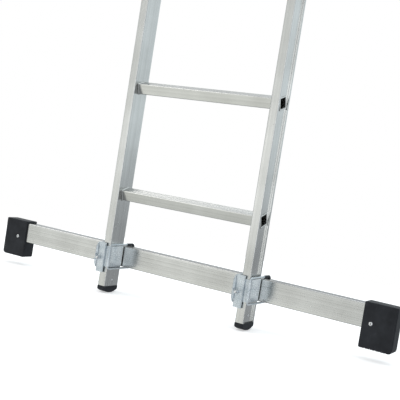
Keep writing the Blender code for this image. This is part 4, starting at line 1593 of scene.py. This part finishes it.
@dataclass
class Studio:
    """Pale floor, soft light from large panels, and a camera."""

    camera_place: tuple[float, float, float] = (1.03249, -1.66593, 0.38025)
    azimuth: float = math.radians(30.046)
    elevation: float = math.radians(2.821)
    roll: float = math.radians(9.037)
    lens: float = 70.306
    sensor: float = 36.0
    floor_radius: float = 1.45
    floor_drop: float = 0.5 * MM
    ambient: Colour = (0.38, 0.40, 0.42)
    glows: tuple[Glow, ...] = (
        Glow((-0.5, -0.865, -0.08), 13.0, 40.0, (0.42, 0.42, 0.39)),
        Glow((-0.5, -0.865, 0.01), 2.0, 7.0, (0.95, 0.95, 0.94)),
        Glow((-0.5, -0.65, -0.56), 14.0, 34.0, (0.26, 0.26, 0.22)),
        Glow((0.53, -0.85, 0.05), 9.0, 22.0, (1.7, 1.75, 1.8)),
        Glow((0.36, 0.62, 0.70), 43.0, 50.0, (0.44, 0.50, 0.52)),
        Glow((0.5, 0.865, -0.12), 12.0, 30.0, (-0.07, -0.05, -0.04)),
        Glow((1.0, -0.15, 0.0), 14.0, 34.0, (-0.22, -0.22, -0.22)),
        Glow((-0.5, 0.68, 0.53), 13.0, 26.0, (0.46, 0.47, 0.46)),
        Glow((-1.0, 0.1, 0.2), 20.0, 50.0, (0.28, 0.29, 0.30)),
        Glow((0.0, 0.0, 1.0), 20.0, 50.0, (0.25, 0.25, 0.25)),
    )

    def build_floor(self) -> None:
        """Lays the floor, which gives no reflections on the pieces."""
        clear()
        stance = {"location": (0.0, 0.0, -self.floor_drop), "fill_type": "NGON"}
        bpy.ops.mesh.primitive_circle_add(vertices=96, radius=self.floor_radius, **stance)
        floor = bpy.context.active_object
        floor.name = "studio_floor"
        sheet = FinishSheet("pale_floor")
        sheet.shade(
            Base_Color=sheet.tint(sheet.noise(3.0), (0.86, 0.86, 0.86), (0.90, 0.90, 0.90)),
            Roughness=0.9,
            Emission_Color=(1.0, 1.0, 1.0, 1.0),
            Emission_Strength=0.45,
        )
        floor.data.materials.append(sheet.owner)
        floor.visible_glossy = False

    def build_sky(self) -> None:
        """Surrounds the stage with the glows, and shows plain white where nothing stands."""
        sky = NodeTree(bpy.data.worlds.new("studio_light"))
        bpy.context.scene.world = sky.owner
        direction = sky.add("TexCoord").outputs["Generated"]
        total = (*self.ambient, 1.0)
        for glow in self.glows:
            towards = Vector(glow.towards).normalized()
            along = sky.add("VectorMath", direction, towards, setup={"operation": "DOT_PRODUCT"})
            spread = sky.add(
                "MapRange",
                setup={"interpolation_type": "SMOOTHSTEP"},
                Value=along.outputs["Value"],
                From_Min=math.cos(math.radians(glow.outer)),
                From_Max=math.cos(math.radians(glow.inner)),
            )
            mixed = sky.add(
                "Mix",
                setup={"data_type": "RGBA", "blend_type": "ADD"},
                Factor=spread.outputs["Result"],
                A=total,
                B=(*glow.colour, 1.0),
            )
            total = mixed.outputs["Result"]
        seen = sky.add("LightPath").outputs["Is Camera Ray"]
        white = (1.0, 1.0, 1.0, 1.0)
        backdrop = sky.add("Mix", setup={"data_type": "RGBA"}, Factor=seen, A=total, B=white)
        sky.fill(sky.tree.nodes["Background"].inputs["Color"], backdrop.outputs["Result"])

    def build_panel(
        self, name: str, place: Corner, aim: Corner, size: float, power: float, colour: Colour
    ) -> None:
        """Hangs one soft light panel.

        Args:
            name: Name of the light.
            place: Where it hangs.
            aim: The point it faces.
            size: Side of the square panel.
            power: Power in watts.
            colour: Its colour.
        """
        clear()
        bpy.ops.object.light_add(type="AREA", location=place)
        panel = bpy.context.active_object
        panel.name = name
        panel.data.size, panel.data.energy, panel.data.color = size, power, colour
        panel.rotation_euler = (Vector(aim) - Vector(place)).to_track_quat("-Z", "Y").to_euler()

    def build_camera(self) -> None:
        """Sets up the camera."""
        bpy.ops.object.camera_add(location=self.camera_place)
        camera = bpy.context.active_object
        upright = Euler((math.pi / 2 - self.elevation, 0.0, self.azimuth)).to_matrix().to_4x4()
        turned_over = upright @ Matrix.Rotation(self.roll, 4, "Z")
        camera.matrix_world = Matrix.Translation(self.camera_place) @ turned_over
        camera.data.lens, camera.data.sensor_width = self.lens, self.sensor
        bpy.context.scene.camera = camera

    def build(self) -> None:
        """Builds the whole studio."""
        self.build_floor()
        self.build_sky()
        warm, white = (1.0, 0.98, 0.95), (1.0, 1.0, 1.0)
        self.build_panel("key_panel", (-2.9, -2.4, 3.2), (0.0, 0.0, 0.4), 2.4, 40.0, warm)
        self.build_panel("top_panel", (0.2, -0.4, 4.2), (0.0, 0.0, 0.3), 2.6, 30.0, white)
        self.build_camera()
        bpy.context.scene.view_settings.view_transform = "Standard"


def main() -> None:
    """Builds every sub-assembly in order, then the studio."""
    logging.basicConfig(level=logging.INFO, format="%(name)s: %(message)s")
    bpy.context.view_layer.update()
    shop, guides, hooks, foot = PaintShop(), Guides(), RungHooks(), Foot()
    base = LadderSection("base", BASE_HALF_WIDTH, 0.0, 18.0 * MM, 1774.5 * MM, 264.5 * MM, False)
    fly = LadderSection(
        "fly", FLY_HALF_WIDTH, FLY_FRONT_Y, 944.5 * MM, 2614.5 * MM, 1104.5 * MM, True
    )
    foot_hole = Vector((BASE_HALF_WIDTH - STILE.width / 2, STILE.depth / 2, foot.rivet_z))
    guide_hole = guides.base_rivet_place() + Vector((2 * MM, 0.0, 0.0))
    pin_hole = Vector((hooks.inner_x - 5 * MM, hooks.pivot_y, hooks.pivot_z))
    base.build(shop, [(Axis.X, foot_hole, RIVET_HOLE), (Axis.X, guide_hole, RIVET_HOLE)])
    strap_hole = guides.fly_rivet_place()
    fly.build(shop, [(Axis.Y, strap_hole, RIVET_HOLE), (Axis.X, pin_hole, hooks.hole)])
    foot.build(shop)
    Crossbar().build(shop)
    Clamp(Side.LEFT, -BASE_HALF_WIDTH, math.radians(-75.0)).build(shop)
    Clamp(Side.RIGHT, BASE_HALF_WIDTH - STILE.width, 0.0).build(shop)
    guides.build(shop)
    hooks.build(shop)
    Studio().build()
    clear()


if __name__ == "__main__":
    main()
